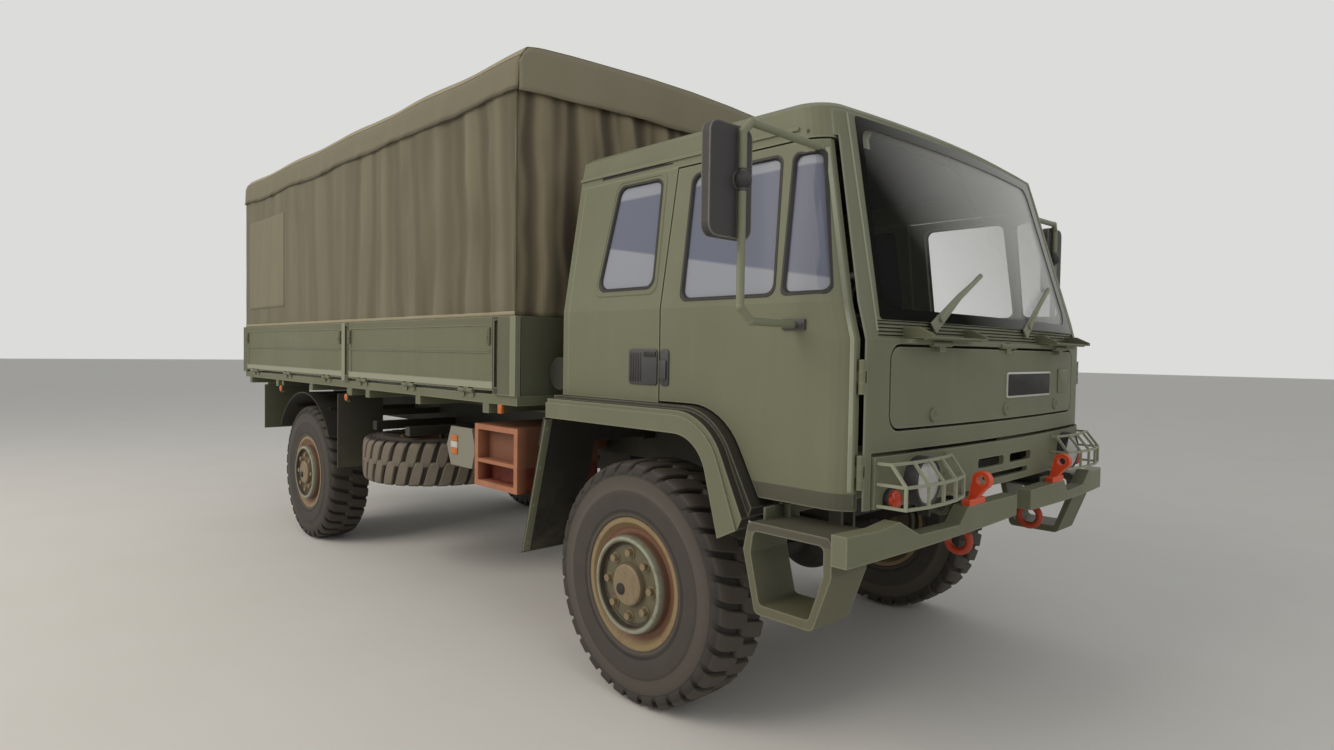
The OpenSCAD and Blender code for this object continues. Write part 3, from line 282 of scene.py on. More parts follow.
def field_paint(
    name, base, faded, rubbed=RUBBED_AND_HIGHLIGHT, dust=ROAD_DUST, roughness=0.62, edge=0.75, dust_share=0.4, marks=(),
):
    """Sprayed matt paint: faded patches, fine grit, rubbed edges with a painted highlight, and dust low on
    the truck.

    A mark is (axis, low, high, colour, share): a band of another colour, in millimetres.
    """
    paint = Finish(name, base, roughness)
    patches = paint.speckle(700, 0.42, 0.72, 6.0)
    paint.lay(patches, faded, 0.3)
    paint.lay(paint.speckle(90, 0.5, 0.8, 5.0, (1, 1, 0.12)), rubbed, 0.08)
    axes = paint.axes()
    for axis, low, high, code, share in marks:
        i = "XYZ".index(axis)
        paint.lay(paint.between(axes[i], at(low, low, low)[i], at(high, high, high)[i]), code, share)
    # Paler edges: rubbed paint, and a painted highlight along every sharp edge.
    worn_and_lit_edges = paint.times(paint.worn_edges(12, 0.985, 0.75), paint.speckle(45, 0.15, 0.45))
    paint.lay(worn_and_lit_edges, rubbed, edge)
    grime = paint.times(paint.spread(axes[2], 1.0, 0.5), paint.speckle(120, 0.35, 0.62, 8.0))
    paint.lay(grime, dust, dust_share)
    paint.feed({"Roughness": paint.spread(patches, 0.0, 1.0, roughness - 0.08, roughness + 0.1)})
    return paint.done(paint.speckle(6, 0.3, 0.7, 3.0), 0.12, 1.5)


print("paint recipe ready")

# %% [markdown]
# Most paints are plain. Some carry marks: bands of another tone where a rail, a fold of the
# metal or an edge runs along the piece. Many are painted light: a painted highlight on the lit face
# of a rail or post, and painted shade under a rail, in a channel, in a gap or inside a wheel arch.

# %% Paints
olive_paint = field_paint("olive_field_paint", "#767860", "#6C6E57")
# Drop sides: the pale band at 1331 to 1368 mm is a painted highlight on the lower rail, and the dark band
# under it painted shade. Two more darker bands run higher up.
side_paint = field_paint("drop_side_paint", "#6E7056", "#666851", marks=[
    ("Z", 1331, 1368, "#9FA28D", 0.9), ("Z", 1300, 1329, "#55563F", 0.85),
    ("Z", 1513, 1535, "#5A5B48", 0.7), ("Z", 1664, 1730, "#66674F", 0.7),
])
# Body posts: the pale strips are painted highlights on their lit faces, and the dark strips painted shade in
# the middle post's channel and in the gap at the front corner.
post_paint = field_paint("body_post_paint", "#62644F", "#5A5C47", marks=[
    ("X", -3052, -2991, "#979A84", 0.85), ("X", -2989, -2949, "#403C33", 0.9),
    ("X", -1017, -979, "#35322A", 0.9), ("X", -866, -812, "#8F927C", 0.7),
])
door_paint = field_paint("door_paint", "#767860", "#6C6E57", marks=[("Z", 960, 1056, "#4B493D", 0.8)])
# Wheel arches: the inner faces, nearer the truck's middle, are painted shade.
flare_paint = field_paint("wheel_arch_paint", "#72745D", "#686A54", marks=[
    ("Y", -1187, -900, "#332F27", 1.0), ("Y", 900, 1187, "#332F27", 1.0),
])
step_paint = field_paint("step_paint", "#66664F", "#56553F", marks=[("Z", 898, 940, "#4E4B40", 0.8)])
floor_paint = field_paint("load_floor_paint", "#6F7159", "#656750", "#8F927C")
deep_olive = field_paint("shaded_olive_paint", "#5F614D", "#54553F", "#7F826B")
frame_paint = field_paint("black_olive_frame_paint", "#3A3B33", "#302F29", "#5B5A4C", roughness=0.55)
bow_paint = field_paint("bow_tube_paint", "#4B4A40", "#3E3D34", "#6C6A5B")
tow_red = field_paint("red_tow_paint", "#EA4A1C", "#CE3C16", "#EE8A62", "#7E4A34", 0.42, dust_share=0.2)
tow_dark_red = field_paint(
    "old_red_tow_paint", "#B43A1A", "#8E2E14", "#C4643E", "#6B4434", 0.5, dust_share=0.3,
)
guard_paint = field_paint("guard_wire_paint", "#9A9D86", "#8A8D75", "#B3B6A1", edge=0.5, dust_share=0.2)
wiper_paint = field_paint("wiper_paint", "#8C8E76", "#7C7E67", "#A3A690", edge=0.5)
grille_paint = field_paint("slat_paint", "#66674F", "#5A5B48", "#84876F")
board_black = field_paint("number_board_black", "#1D1C1B", "#1B1A19", "#2A2928", edge=0.2)
mirror_grey = field_paint("mirror_case_plastic", "#3B383A", "#333133", "#5A5759", roughness=0.5)
mirror_arm_paint = field_paint("mirror_arm_paint", "#85886F", "#787A62", "#A3A690", marks=[
    ("X", 700, 781, "#3B383A", 1.0), ("Z", 2072, 2148, "#3B383A", 1.0),
])
guard_black = field_paint("mudguard_coat", "#2A2722", "#221F1B", "#4A463E", roughness=0.7, marks=[
    ("X", -4824, -4804, "#5B5C49", 1.0), ("X", -3156, -3136, "#4A493B", 0.8),
])
print("paints:", [m.name for m in bpy.data.materials if "paint" in m.name])

# %% [markdown]
# Axles, springs and gearbox are cast and forged iron: dark, rough, with oil, dust and a little
# rust. Window seals, dashboard and handle plates are moulded rubber and plastic, dull with age.


# %% Iron and rubber
def cast_iron(name, base, rust):
    """Sand-cast iron: a coarse skin, oily dark patches and rust in the hollows."""
    iron = Finish(name, base, 0.7)
    iron.lay(iron.speckle(260, 0.4, 0.7, 6.0), "#1F1D1A", 0.6)
    iron.lay(iron.speckle(60, 0.56, 0.72, 8.0), rust, 0.5)
    return iron.done(iron.speckle(9, 0.2, 0.8), 0.35, 2.0)


def rubber(name, base, faded, roughness=0.72):
    """Moulded rubber: faded brownish skin, paler scuffed edges and a fine mould grain."""
    skin = Finish(name, base, roughness, 1.52)
    skin.lay(skin.speckle(220, 0.35, 0.7, 6.0), faded)
    skin.lay(skin.times(skin.worn_edges(7), skin.speckle(35, 0.3, 0.65)), "#7A7268", 0.55)
    return skin.done(skin.speckle(5, 0.3, 0.7), 0.15, 1.0)


axle_iron = cast_iron("oily_cast_iron", "#34302B", "#5A4232")
spring_steel = cast_iron("leaf_spring_steel", "#2E2B27", "#4C3A2E")
seal_rubber = rubber("window_seal_rubber", "#1B1A18", "#262421", 0.55)
trim_plastic = rubber("moulded_dash_plastic", "#37352F", "#2B2925", 0.6)
handle_grey = rubber("handle_plate_plastic", "#4A494D", "#3F3E42", 0.5)
print("iron and rubber ready")

# %% [markdown]
# A wheel is painted in rings, each a step of the pressed disc: a tan flange, a rusty band where
# the tyre chafes, a pale ring with a painted highlight, a dark ring of painted shade in the gap at
# the drum and an olive dish with its nuts. Rings belong to the wheel's own centre, so each wheel
# finish measures the distance from its own hub.

# %% Ring finishes for wheels and tyres
UPRIGHT = (1.0, 0.0, 1.0)
FLAT = (1.0, 1.0, 0.0)
TYRE_RADIUS = 531
REAR_AXLE = -3950
# Sidewall tones from rim to shoulder; the third and fourth make a paler band of painted sheen.
WALL = ("#45403A", "#423D37", "#5A534C", "#4E4841", "#37322D", "#332F2A")
# A darker copy of the sidewall tones for the rear tyre: painted shade under the body.
SHADED_WALL = ("#3D3833", "#3A3530", "#46403A", "#433D37", "#2E2A26", "#2B2723")


def hub_distance(finish, hub, keep):
    """Distance from the hub across its axle, for a pattern that runs round the wheel."""
    moved = finish.add("VectorMath", {0: finish.place, 1: hub}, operation="SUBTRACT").outputs["Vector"]
    flat = finish.add("VectorMath", {0: moved, 1: keep}, operation="MULTIPLY").outputs["Vector"]
    return finish.add("VectorMath", {0: flat}, operation="LENGTH").outputs["Value"]


def rings(finish, distance, reach, stops):
    """A ramp of colours along the distance from the hub; stops are (millimetres, hex)."""
    ramp = finish.add("ValToRGB", {"Fac": finish.maths("DIVIDE", distance, reach / 1000)})
    steps = ramp.color_ramp.elements
    steps[0].color = linear(stops[0][1])
    steps[1].color = linear(stops[-1][1])
    for far, code in stops[1:-1]:
        steps.new(far / reach).color = linear(code)
    return ramp.outputs["Color"]


def wheel_paint(name, hub, keep):
    """Tan and olive rings over steel, dusty and chipped to rust along the edges."""
    paint = Finish(name, None, 0.58)
    distance = hub_distance(paint, hub, keep)
    # Rings at 170 to 184 mm are painted shade in the gap at the drum, and the pale ring near 196 mm is a
    # painted highlight.
    paint.colour = rings(paint, distance, 300, [
        (0, "#8C7B60"), (74, "#8C7B60"), (87, "#94836A"), (92, "#55503E"), (100, "#6B664F"), (164, "#6B664F"),
        (170, "#3F3A2E"), (184, "#3F3A2E"), (188, "#6A664F"), (196, "#A0A594"), (207, "#8E9280"),
        (214, "#5E4233"), (222, "#7A5844"), (244, "#84604A"), (252, "#8B7756"), (278, "#98845F"),
        (286, "#7A694C"), (300, "#6C5D45"),
    ])
    if keep == UPRIGHT:
        out = paint.maths("ABSOLUTE", paint.axes()[1])
        nuts = paint.times(paint.between(out, 1.159, 1.4), paint.between(distance, 0.112, 0.163))
        paint.lay(nuts, "#8C7B60")
    paint.lay(paint.speckle(40, 0.52, 0.7, 7.0), "#6F503D", 0.5)
    paint.lay(paint.times(paint.worn_edges(6), paint.speckle(30, 0.3, 0.6)), "#A8977A", 0.5)
    return paint.done(paint.speckle(8, 0.3, 0.7), 0.15, 1.5)


def tyre_rubber(name, hub, keep, tread="#4B453E", wall=WALL):
    """Sidewall rubber in faint rings with a paler band of painted sheen, darker towards the tread, dusty, and
    scuffed with a painted highlight along the lug edges.
    """
    skin = Finish(name, None, 0.74, 1.52)
    skin.colour = rings(skin, hub_distance(skin, hub, keep), 540, [
        (0, "#4C4640"), (288, "#4C4640"), (296, "#57504A"), (311, "#2C2823"), (318, "#2C2823"),
        (324, wall[0]), (402, wall[1]), (407, wall[2]), (462, wall[3]), (468, wall[4]), (506, wall[5]),
        (514, tread), (540, tread),
    ])
    skin.lay(skin.speckle(130, 0.4, 0.75, 6.0), "#5C554C", 0.2)
    # Scuffs and a painted highlight along the edges of the lugs.
    skin.lay(skin.times(skin.worn_edges(8), skin.speckle(40, 0.3, 0.65)), "#6A6258", 0.35)
    return skin.done(skin.speckle(5, 0.3, 0.7), 0.15, 1.0)


HUBS = {
    "front": at(0, 0, TYRE_RADIUS),
    "rear": at(REAR_AXLE, 0, TYRE_RADIUS),
    "spare": at(-2650, -670, 770),
}
wheel_finish = {
    end: wheel_paint(end + "_wheel_paint", hub, FLAT if end == "spare" else UPRIGHT)
    for end, hub in HUBS.items()
}
tyre_finish = {
    "front": tyre_rubber("front_tyre_rubber", HUBS["front"], UPRIGHT),
    # The rear tyre's darker tread and wall are painted shade under the body.
    "rear": tyre_rubber("rear_tyre_rubber", HUBS["rear"], UPRIGHT, "#3B3630", SHADED_WALL),
    "spare": tyre_rubber("spare_tyre_rubber", HUBS["spare"], FLAT, "#7A7164"),
}
print("ring finishes:", len(wheel_finish) + len(tyre_finish))

# %% [markdown]
# The side windows are toughened glass with a grey tint and painted reflections of the sky in bands. The
# screen is clear under a film of dust that grows to the left, and so does the dust on its black edge.
# The open battery box is salmon primer outside and rusts to dark red inside, which its depth
# behind the front face tells.


# %% Glass and battery box
def screen_film(glass, y, z, least, most):
    """Dust on the screen: thin low on the right, thick high on the left."""
    return glass.spread(glass.maths("MULTIPLY_ADD", z, 0.8, y), 1.0, 2.6, least, most)


def cab_window(name, with_screen):
    """Toughened glass: painted reflections of the sky in bands on the panes, and dust on the screen where
    there is one.
    """
    glass = Finish(name, "#797E91", 0.08, 1.52)
    glass.feed({"Specular IOR Level": 0.12})
    x, y, z = glass.axes()
    # A band low on the panes and one high up: painted reflections of the sky.
    low = glass.spread(glass.maths("MULTIPLY_ADD", x, 0.168, z), 2.316, 2.306)
    glass.lay(glass.maths("MAXIMUM", low, glass.spread(z, 2.228, 2.238)), "#A3A7B3")
    if with_screen:
        glass.lay(glass.spread(y, 0.0, 0.1), "#2C2E33")
        screen = glass.spread(x, 2.4, 2.5)
        glass.lay(screen, "#E0E0DE")
        film = screen_film(glass, y, z, 0.01, 0.68)
        cover = glass.add("Mix", {0: screen, 2: 0.96, 3: film}).outputs[0]
    else:
        cover = glass.spread(y, 0.0, 0.1, 0.96, 0.14)
    glass.feed({"Alpha": cover})
    return glass.done()


rim = Finish("screen_edge_glass", "#0B0A09", 0.2)
rim.feed({"Specular IOR Level": 0.0})
rim.lay(screen_film(rim, rim.axes()[1], rim.axes()[2], 0.02, 0.82), "#D2D2D0")
screen_edge = rim.done()
cab_glass = cab_window("tinted_cab_glass", True)
door_glass = cab_window("tinted_door_glass", False)

box = Finish("salmon_primer_box", "#B57A5A", 0.66)
along, depth, height = box.axes()
box.lay(box.speckle(120, 0.4, 0.7, 6.0), "#A46A4E")
rust = box.mix(box.speckle(70, 0.4, 0.7, 6.0), "#7E3A2A", "#531C14")
rust = box.mix(box.between(height, 0.915, 1.2, 0.004), rust, "#80543F")
box.lay(box.spread(depth, -1.146, -1.085), rust)
box.lay(box.times(box.worn_edges(7), box.speckle(40, 0.3, 0.6)), "#7E5140", 0.6)
box.lay(box.spread(along, 0.7485, 0.7475), "#8B897B")
primer = box.done(box.speckle(8, 0.3, 0.7), 0.2, 1.5)
print("glass and primer ready")

# %% [markdown]
# Lamp bowls and mirrors are bright metal, and the lenses are moulded plastic with fine ribs.


# %% Bright metal and lenses
def bright_metal(name, tint, roughness):
    """Plated steel: clear reflections broken by haze and pits."""
    metal = Finish(name, tint, roughness)
    haze = metal.speckle(60, 0.35, 0.7, 6.0)
    metal.lay(haze, "#8E8C86")
    metal.feed({"Metallic": 1.0, "Roughness": metal.spread(haze, 0.0, 1.0, roughness, roughness + 0.15)})
    return metal.done()


def lens_plastic(name, base, edge, alpha=1.0, roughness=0.15):
    """Moulded lamp lens: clear coloured plastic over a ribbed inside."""
    plastic = Finish(name, base, roughness, 1.49)
    waves = {"Vector": plastic.place, "Scale": 34.0, "Distortion": 0.3}
    ribs = plastic.add("TexWave", waves, bands_direction="Y").outputs["Fac"]
    plastic.lay(ribs, edge)
    plastic.feed({"Alpha": alpha})
    return plastic.done(ribs, 0.25, 2.0)


plated = bright_metal("plated_steel", "#C9C8C4", 0.18)
mirror_face = bright_metal("silvered_mirror", "#B9BEC4", 0.04)
head_glass = lens_plastic("head_lamp_glass", "#F1F0EE", "#D8D7D4", 0.7, 0.08)
amber_lens = lens_plastic("amber_lens", "#D4782B", "#B85E1C")
red_lens = lens_plastic("red_lens", "#B7301C", "#8A2014")
signal_lens = lens_plastic("orange_red_lens", "#D9481A", "#B23413")
white_reflector = lens_plastic("white_reflector", "#D8D6CF", "#B9B7B0")
print("metal and lenses ready")

# %% [markdown]
# Each solid keeps its shape and takes the finish of the real piece. Soft pieces, tyres and lamps
# are missing here, because pieces made further down stand in their places.

# %% Paint the solids
coats = {
    olive_paint: [
        "bumper", "cab_rear", "cab_roof", "cab_sides", "cab_front_panel", "front_flap", "tailgate",
        "lamp_panel",
    ],
    door_paint: ["door_right", "door_left"],
    side_paint: ["side_right_front", "side_right_rear", "side_left_front", "side_left_rear"],
    post_paint: ["body_posts"],
    flare_paint: ["arch_flares"],
    step_paint: ["cab_steps"],
    floor_paint: ["cargo_floor"],
    deep_olive: ["fuel_tank", "headboard", "cab_floor"],
    frame_paint: ["chassis_frame", "air_tanks"],
    axle_iron: ["front_axle", "rear_axle", "engine", "driveline", "knuckle_right", "knuckle_left"],
    spring_steel: ["leaf_springs"],
    tow_red: ["tow_eyes"],
    tow_dark_red: ["tow_hooks"],
    guard_paint: ["lamp_guards"],
    wiper_paint: ["wipers"],
    primer: ["battery_box"],
    guard_black: ["mudguards"],
    bow_paint: ["canopy_bows"],
    cab_glass: ["cab_glass"],
    door_glass: ["door_glass_right", "door_glass_left"],
    trim_plastic: ["dashboard", "steering_wheel"],
    grille_paint: ["scuttle"],
    mirror_arm_paint: ["mirror_right", "mirror_left"],
    wheel_finish["front"]: ["wheel_front_right", "wheel_front_left"],
    wheel_finish["rear"]: ["wheel_rear_right", "wheel_rear_left"],
    wheel_finish["spare"]: ["spare_rim"],
}
for coat, names in coats.items():
    for name in names:
        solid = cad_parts[name]
        if len(solid.material_slots) == 0:
            solid.data.materials.append(coat)
        for holder in solid.material_slots:
            holder.material = coat
print("painted solids:", sum(len(v) for v in coats.values()))

# %% [markdown]
# New pieces all end the same way: the mesh is cleaned, its sharp edges get a small bevel that
# catches the light, it takes its finish, and it rides on the body that carries it.


# %% Making a piece
def bevel(shape, edges, size_mm, segments):
    bmesh.ops.bevel(
        shape, geom=edges, offset=size_mm / 1000, offset_type="OFFSET", segments=segments, profile=0.5,
        affect="EDGES", clamp_overlap=True, material=-1,
    )


def piece(name, shape, coat, body, bevel_mm=1.5, smooth_angle=35, replaces=()):
    """Turns a bmesh into a named object that rides on a body."""
    bmesh.ops.remove_doubles(shape, verts=shape.verts[:], dist=0.00005)
    if bevel_mm:
        sharp = [e for e in shape.edges if len(e.link_faces) == 2 and e.calc_face_angle(0.0) > 0.6]
        bevel(shape, sharp, bevel_mm, 2)
    bmesh.ops.recalc_face_normals(shape, faces=shape.faces[:])
    for face in shape.faces:
        face.smooth = True
    for edge in shape.edges:
        edge.smooth = edge.calc_face_angle(0.0) < math.radians(smooth_angle)
    made = as_object(name, shape, coat)
    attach(made, body)
    if replaces:
        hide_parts(*replaces)
    return made


def put_box(shape, low, high, turn=None):
    """A box between two corners given with at(), turned about its middle if asked."""
    size = Matrix.Diagonal((*[abs(v) for v in high - low], 1))
    spot = Matrix.Translation((low + high) / 2) @ (turn or Matrix.Identity(4)) @ size
    bmesh.ops.create_cube(shape, size=1.0, matrix=spot)


def box_piece(name, coat, body, bevel_mm, slot, *boxes):
    """A piece made of plain boxes, each between two corners."""
    shape = bmesh.new()
    for low, high in boxes:
        put_box(shape, low, high)
    return piece(name, shape, coat, body, bevel_mm)


def aim(spot, direction):
    """A seat at a spot, with the local Z axis along a direction."""
    return Matrix.Translation(spot) @ Vector(direction).to_track_quat("Z", "Y").to_matrix().to_4x4()


def put_rod(shape, start, end, radius, sides=16):
    """A round bar between two points."""
    bmesh.ops.create_cone(
        shape, cap_ends=True, segments=sides, radius1=radius, radius2=radius, depth=(end - start).length,
        matrix=aim((start + end) / 2, end - start),
    )


def put_turned(shape, outline, spot, steps=48):
    """A turned form: outline of (radius, height) pairs in millimetres, spun about local Z."""
    old = set(shape.verts)
    verts = [shape.verts.new((r / 1000, 0.0, h / 1000)) for r, h in outline]
    edges = [shape.edges.new(pair) for pair in zip(verts, verts[1:])]
    bmesh.ops.spin(
        shape, geom=verts + edges, cent=(0, 0, 0), axis=(0, 0, 1), dvec=(0, 0, 0), angle=2 * math.pi,
        steps=steps, use_merge=True, use_duplicate=False,
    )
    bmesh.ops.transform(shape, matrix=spot, verts=[v for v in shape.verts if v not in old])


print("piece helpers ready")

# %% [markdown]
# The tyres are wide cross-country tyres. The carcass is a profile spun round the axle, with a
# ring and a rim guard on the sidewall. The tread is two rows of thick bars that start on the
# shoulder and slant to the middle, each row half a step behind the other. One bar is a short
# ladder of points pushed along the profile, and it is turned into place all round.

# %% Lugged tyres
LUGS = 33
WHEEL_Y = 1010
CARCASS = [
    (256.5, 126), (270, 133), (286, 138), (292, 146), (304, 149), (312, 147), (331, 151), (391, 158),
    (400, 157), (404, 154), (436, 152), (462, 149), (484, 143), (497, 132), (503, 112), (506, 84),
    (507, 40), (507, 0),
]
LUG_LINE = [
    (478, 150, 462), (500, 146, 480), (519, 134, 494), (528, 110, 500), (531, 68, 503), (531, 20, 503),
    (531, -12, 503),
]


def put_lug(shape, turn, side):
    """One tread bar: a ladder of four-point rungs from the shoulder past the middle."""
    rungs = []
    for step, (top, out, base) in enumerate(LUG_LINE):
        along = step / (len(LUG_LINE) - 1)
        middle = turn - side * math.radians(7.0) * along ** 1.2
        half = math.radians(4.05 - 0.55 * along)
        rung = []
        for angle, radius, drawn in (
            (middle - half * 1.1, base, out - 10), (middle - half, top, out),
            (middle + half, top, out), (middle + half * 1.1, base, out - 10),
        ):
            rung.append(shape.verts.new((
                radius / 1000 * math.cos(angle), radius / 1000 * math.sin(angle), side * drawn / 1000,
            )))
        rungs.append(rung)
    for a, b in zip(rungs, rungs[1:]):
        for i in range(4):
            shape.faces.new((a[i], a[(i + 1) % 4], b[(i + 1) % 4], b[i]))
    shape.faces.new(rungs[0][::-1])
    shape.faces.new(rungs[-1])


def lugged_tyre(name, coat, body, node, spot):
    """Carcass and tread as one piece, in the place of a tyre's solid."""
    carcass = bmesh.new()
    put_turned(carcass, CARCASS + [(r, -h) for r, h in CARCASS[-2::-1]], Matrix.Identity(4), 96)
    tread = bmesh.new()
    for i in range(LUGS):
        put_lug(tread, math.pi / 2 + math.pi * (2 * i + 1.5) / LUGS, 1)
        put_lug(tread, math.pi / 2 + math.pi * (2 * i + 0.5) / LUGS, -1)
    bmesh.ops.recalc_face_normals(tread, faces=tread.faces[:])
    bevel(tread, [e for e in tread.edges if e.calc_face_angle(0.0) > 0.5], 4, 1)
    part = bpy.data.meshes.new("tread_part")
    tread.to_mesh(part)
    tread.free()
    carcass.from_mesh(part)
    bpy.data.meshes.remove(part)
    bmesh.ops.transform(carcass, matrix=spot, verts=carcass.verts[:])
    piece(name, carcass, coat, body, bevel_mm=0, smooth_angle=38, replaces=[node])


for end, x in (("front", 0), ("rear", REAR_AXLE)):
    for hand_name, hand in HANDS:
        label = "%s_%s" % (end, hand_name)
        turn = Matrix.Rotation(-hand * math.pi / 2, 4, "X")
        spot = Matrix.Translation(at(x, hand * WHEEL_Y, TYRE_RADIUS)) @ turn
        lugged_tyre("lugged_tyre_" + label, tyre_finish[end], "wheel_" + label, "tyre_" + label, spot)
        plug = bmesh.new()
        outline = [(0, 0), (25, 0), (25, 5), (20, 8), (0, 8)]
        put_turned(plug, outline, spot @ Matrix.Translation((-0.03, -0.022, 0.1775)), 24)
        piece("hub_plug_" + label, plug, axle_iron, "wheel_" + label, 0)
spot = Matrix.Translation(HUBS["spare"])
lugged_tyre("lugged_spare_tyre", tyre_finish["spare"], "chassis", "spare_tyre", spot)
print("tyres: 5 with", 2 * LUGS, "lugs each")

# %% [markdown]
# The cover is proofed cotton canvas. Its cloth is a plain weave, drawn here as threads every
# 6 mm so that they show, with rain streaks, sun-bleached folds and darker wet patches. Each sheet
# also carries a painted highlight on the ridges of its folds and painted shade in their valleys.
# The finish reads the sheet's own map, in metres along its width and length, so the weave follows the folds.


# %% Canvas finish
def canvas(name, base, bleached, dark, fold_mm=260.0):
    """Proofed cotton duck: a plain weave with bleached streaks and rain stains, a painted highlight on fold
    ridges and painted shade in fold valleys.
    """
    cloth = Finish(name, base, 0.86)
    cut = cloth.add("UVMap", uv_map="cut").outputs["UV"]
    cloth.lay(cloth.speckle(fold_mm, 0.36, 0.68, 5.0, (1, 0.14, 1), cut), bleached, 0.35)
    cloth.lay(cloth.speckle(620, 0.52, 0.8, 6.0, place=cut), dark, 0.35)
    # The fold attribute: a ridge gets a painted highlight, a valley painted shade.
    depth = cloth.add("Attribute", attribute_name="fold").outputs["Fac"]
    cloth.lay(cloth.spread(depth, 0.0, 1.0), bleached, 0.8)
    cloth.lay(cloth.spread(depth, 0.0, -1.0), dark, 0.9)
    threads = cloth.weave(26.0, cut)
    cloth.lay(threads, dark, 0.14)
    cloth.feed({"Sheen Weight": 0.1})
    return cloth.done(threads, 0.3, 1.5)


roof_canvas = canvas("roof_canvas", "#79735E", "#86806A", "#66604D", 500)
side_canvas = canvas("side_canvas", "#716B57", "#858068", "#544C3B")
front_canvas = canvas("front_canvas", "#95896F", "#A59A80", "#51473A", 200)
front_roof_canvas = canvas("front_roof_canvas", "#9A927B", "#A69E86", "#857D67", 500)
# Dark cloth for the strip under each valance: painted shadow.
valance_shadow_canvas = canvas("valance_shadow_canvas", "#5A5342", "#675F4D", "#463F31", 120)
patch_canvas = canvas("patch_canvas", "#7D7862", "#888169", "#6C6552", 500)
hem_canvas = canvas("hem_canvas", "#A29A80", "#AAA288", "#8C856C", 120)
print("canvas ready")

# %% [markdown]
# A sheet starts as a flat grid in its own cut size, and each point is then carried to its place
# by a small rule: so far round the bows, so deep in a fold, so far down towards the hem.


# %% Sheet maker
def sheet(name, width, length, columns, rows, rule, coat, thick_mm=4.0, tone=None):
    """A cloth grid: its point (u, v) in metres goes where rule says, and tone gives the painted light of its
    folds, from painted shade at -1 to a painted highlight at 1.
    """
    shape = bmesh.new()
    map_layer = shape.loops.layers.uv.new("cut")
    bmesh.ops.create_grid(shape, x_segments=columns, y_segments=rows, size=0.5)
    for face in shape.faces:
        for loop in face.loops:
            loop[map_layer].uv = ((loop.vert.co.x + 0.5) * width, (loop.vert.co.y + 0.5) * length)
        face.smooth = True
    fold_layer = shape.verts.layers.float.new("fold")
    for v in shape.verts:
        spot = ((v.co.x + 0.5) * width, (v.co.y + 0.5) * length)
        v[fold_layer] = tone(*spot) if tone else 0.0
        v.co = rule(*spot)
    made = as_object(name, shape, coat)
    wall = made.modifiers.new("cloth", "SOLIDIFY")
    wall.thickness = thick_mm / 1000
    wall.offset = 0.0
    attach(made, "chassis")
    return made


def wave(x, step, phase=0.0):
    """A smooth wave from 0 to 1."""
    return 0.5 + 0.5 * math.sin(2 * math.pi * x / step + phase)


def ripple(x, z, seed):
    """Smooth wandering from -1 to 1, the same on each run."""
    return noise.noise(Vector((x, z, seed)))


print("sheet maker ready")

# %% [markdown]
# The roof goes over the five bows in one piece, from the hem of one valance to the other. It lies
# tight on each bow and sinks a little between them, and the free valance below the edge waves.

# %% Canopy roof
ROOF_FRONT = -826
ROOF_BACK = -5394
EAVES_Y = 1215
EAVES_Z = 2972
BOWS = [-915, -1900, -2993, -4200, -5355]
HALF_LINE = [
    (-EAVES_Y, 2830), (-EAVES_Y, 2905), (-EAVES_Y, EAVES_Z), (-1205, 3001), (-1166, 3049), (-1088, 3063),
    (-900, 3077), (-703, 3087), (-350, 3103), (0, 3109),
]
ROOF_LINE = [Vector(p) for p in HALF_LINE] + [Vector((-y, z)) for y, z in HALF_LINE[-2::-1]]
ROOF_STEPS = [0.0]
for a, b in zip(ROOF_LINE, ROOF_LINE[1:]):
    ROOF_STEPS.append(ROOF_STEPS[-1] + (b - a).length / 1000)
ROOF_WIDTH = ROOF_STEPS[-1]
ROOF_LENGTH = (ROOF_FRONT - ROOF_BACK) / 1000


def roof_point(s):
    """Across the roof: the place in Y and Z after s metres from the right hem."""
    for i in range(len(ROOF_STEPS) - 1):
        if s <= ROOF_STEPS[i + 1] or i == len(ROOF_STEPS) - 2:
            share = (s - ROOF_STEPS[i]) / (ROOF_STEPS[i + 1] - ROOF_STEPS[i])
            return ROOF_LINE[i].lerp(ROOF_LINE[i + 1], min(1.0, max(0.0, share)))


def sag(x):
    """How far between two bows a place lies: 0 on a bow, 1 half way."""
    for a, b in zip(BOWS, BOWS[1:]):
        if b <= x <= a:
            return math.sin(math.pi * (x - b) / (a - b)) ** 2
    return 0.0


def roof_rule(u, v):
    """Tight over the bows, sunk between them and waving below the eaves."""
    x = ROOF_BACK + v * 1000
    p = roof_point(u)
    hand = -1 if p.x < 0 else 1
    free = max(0.0, (2980 - p.y) / 150)
    if free > 0:
        hang = 4 + 12 * wave(x, 610, 1.2 * hand) * wave(x, 233, 0.5)
        low = 14 * ripple(x / 420, 0.3 * hand, 4.1) - 10 * sag(x)
        return at(x, p.x + hand * hang * free, p.y + low * free)
    inner = 1 - (abs(p.x) / EAVES_Y) ** 4
    dip = (24 * inner + 5) * sag(x) + 4 * ripple(x / 300, p.x / 300, 2.0) * sag(x)
    return at(x, p.x - hand * 5 * sag(x) * (1 - inner), p.y - dip)


canopy_roof = sheet(
    "canopy_roof", ROOF_WIDTH, ROOF_LENGTH, 84, 150, roof_rule, roof_canvas,
)
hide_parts("canopy_top")
print("roof cut:", round(ROOF_WIDTH, 2), "by", round(ROOF_LENGTH, 2), "m")

# %% [markdown]
# A short curtain hangs from each end of the roof. Its top follows the last bow, and its hem is a
# flat wavy arch, so it is deepest in the middle.

# %% End valances
END_WIDTH = 2.429
END_DROP = 0.28


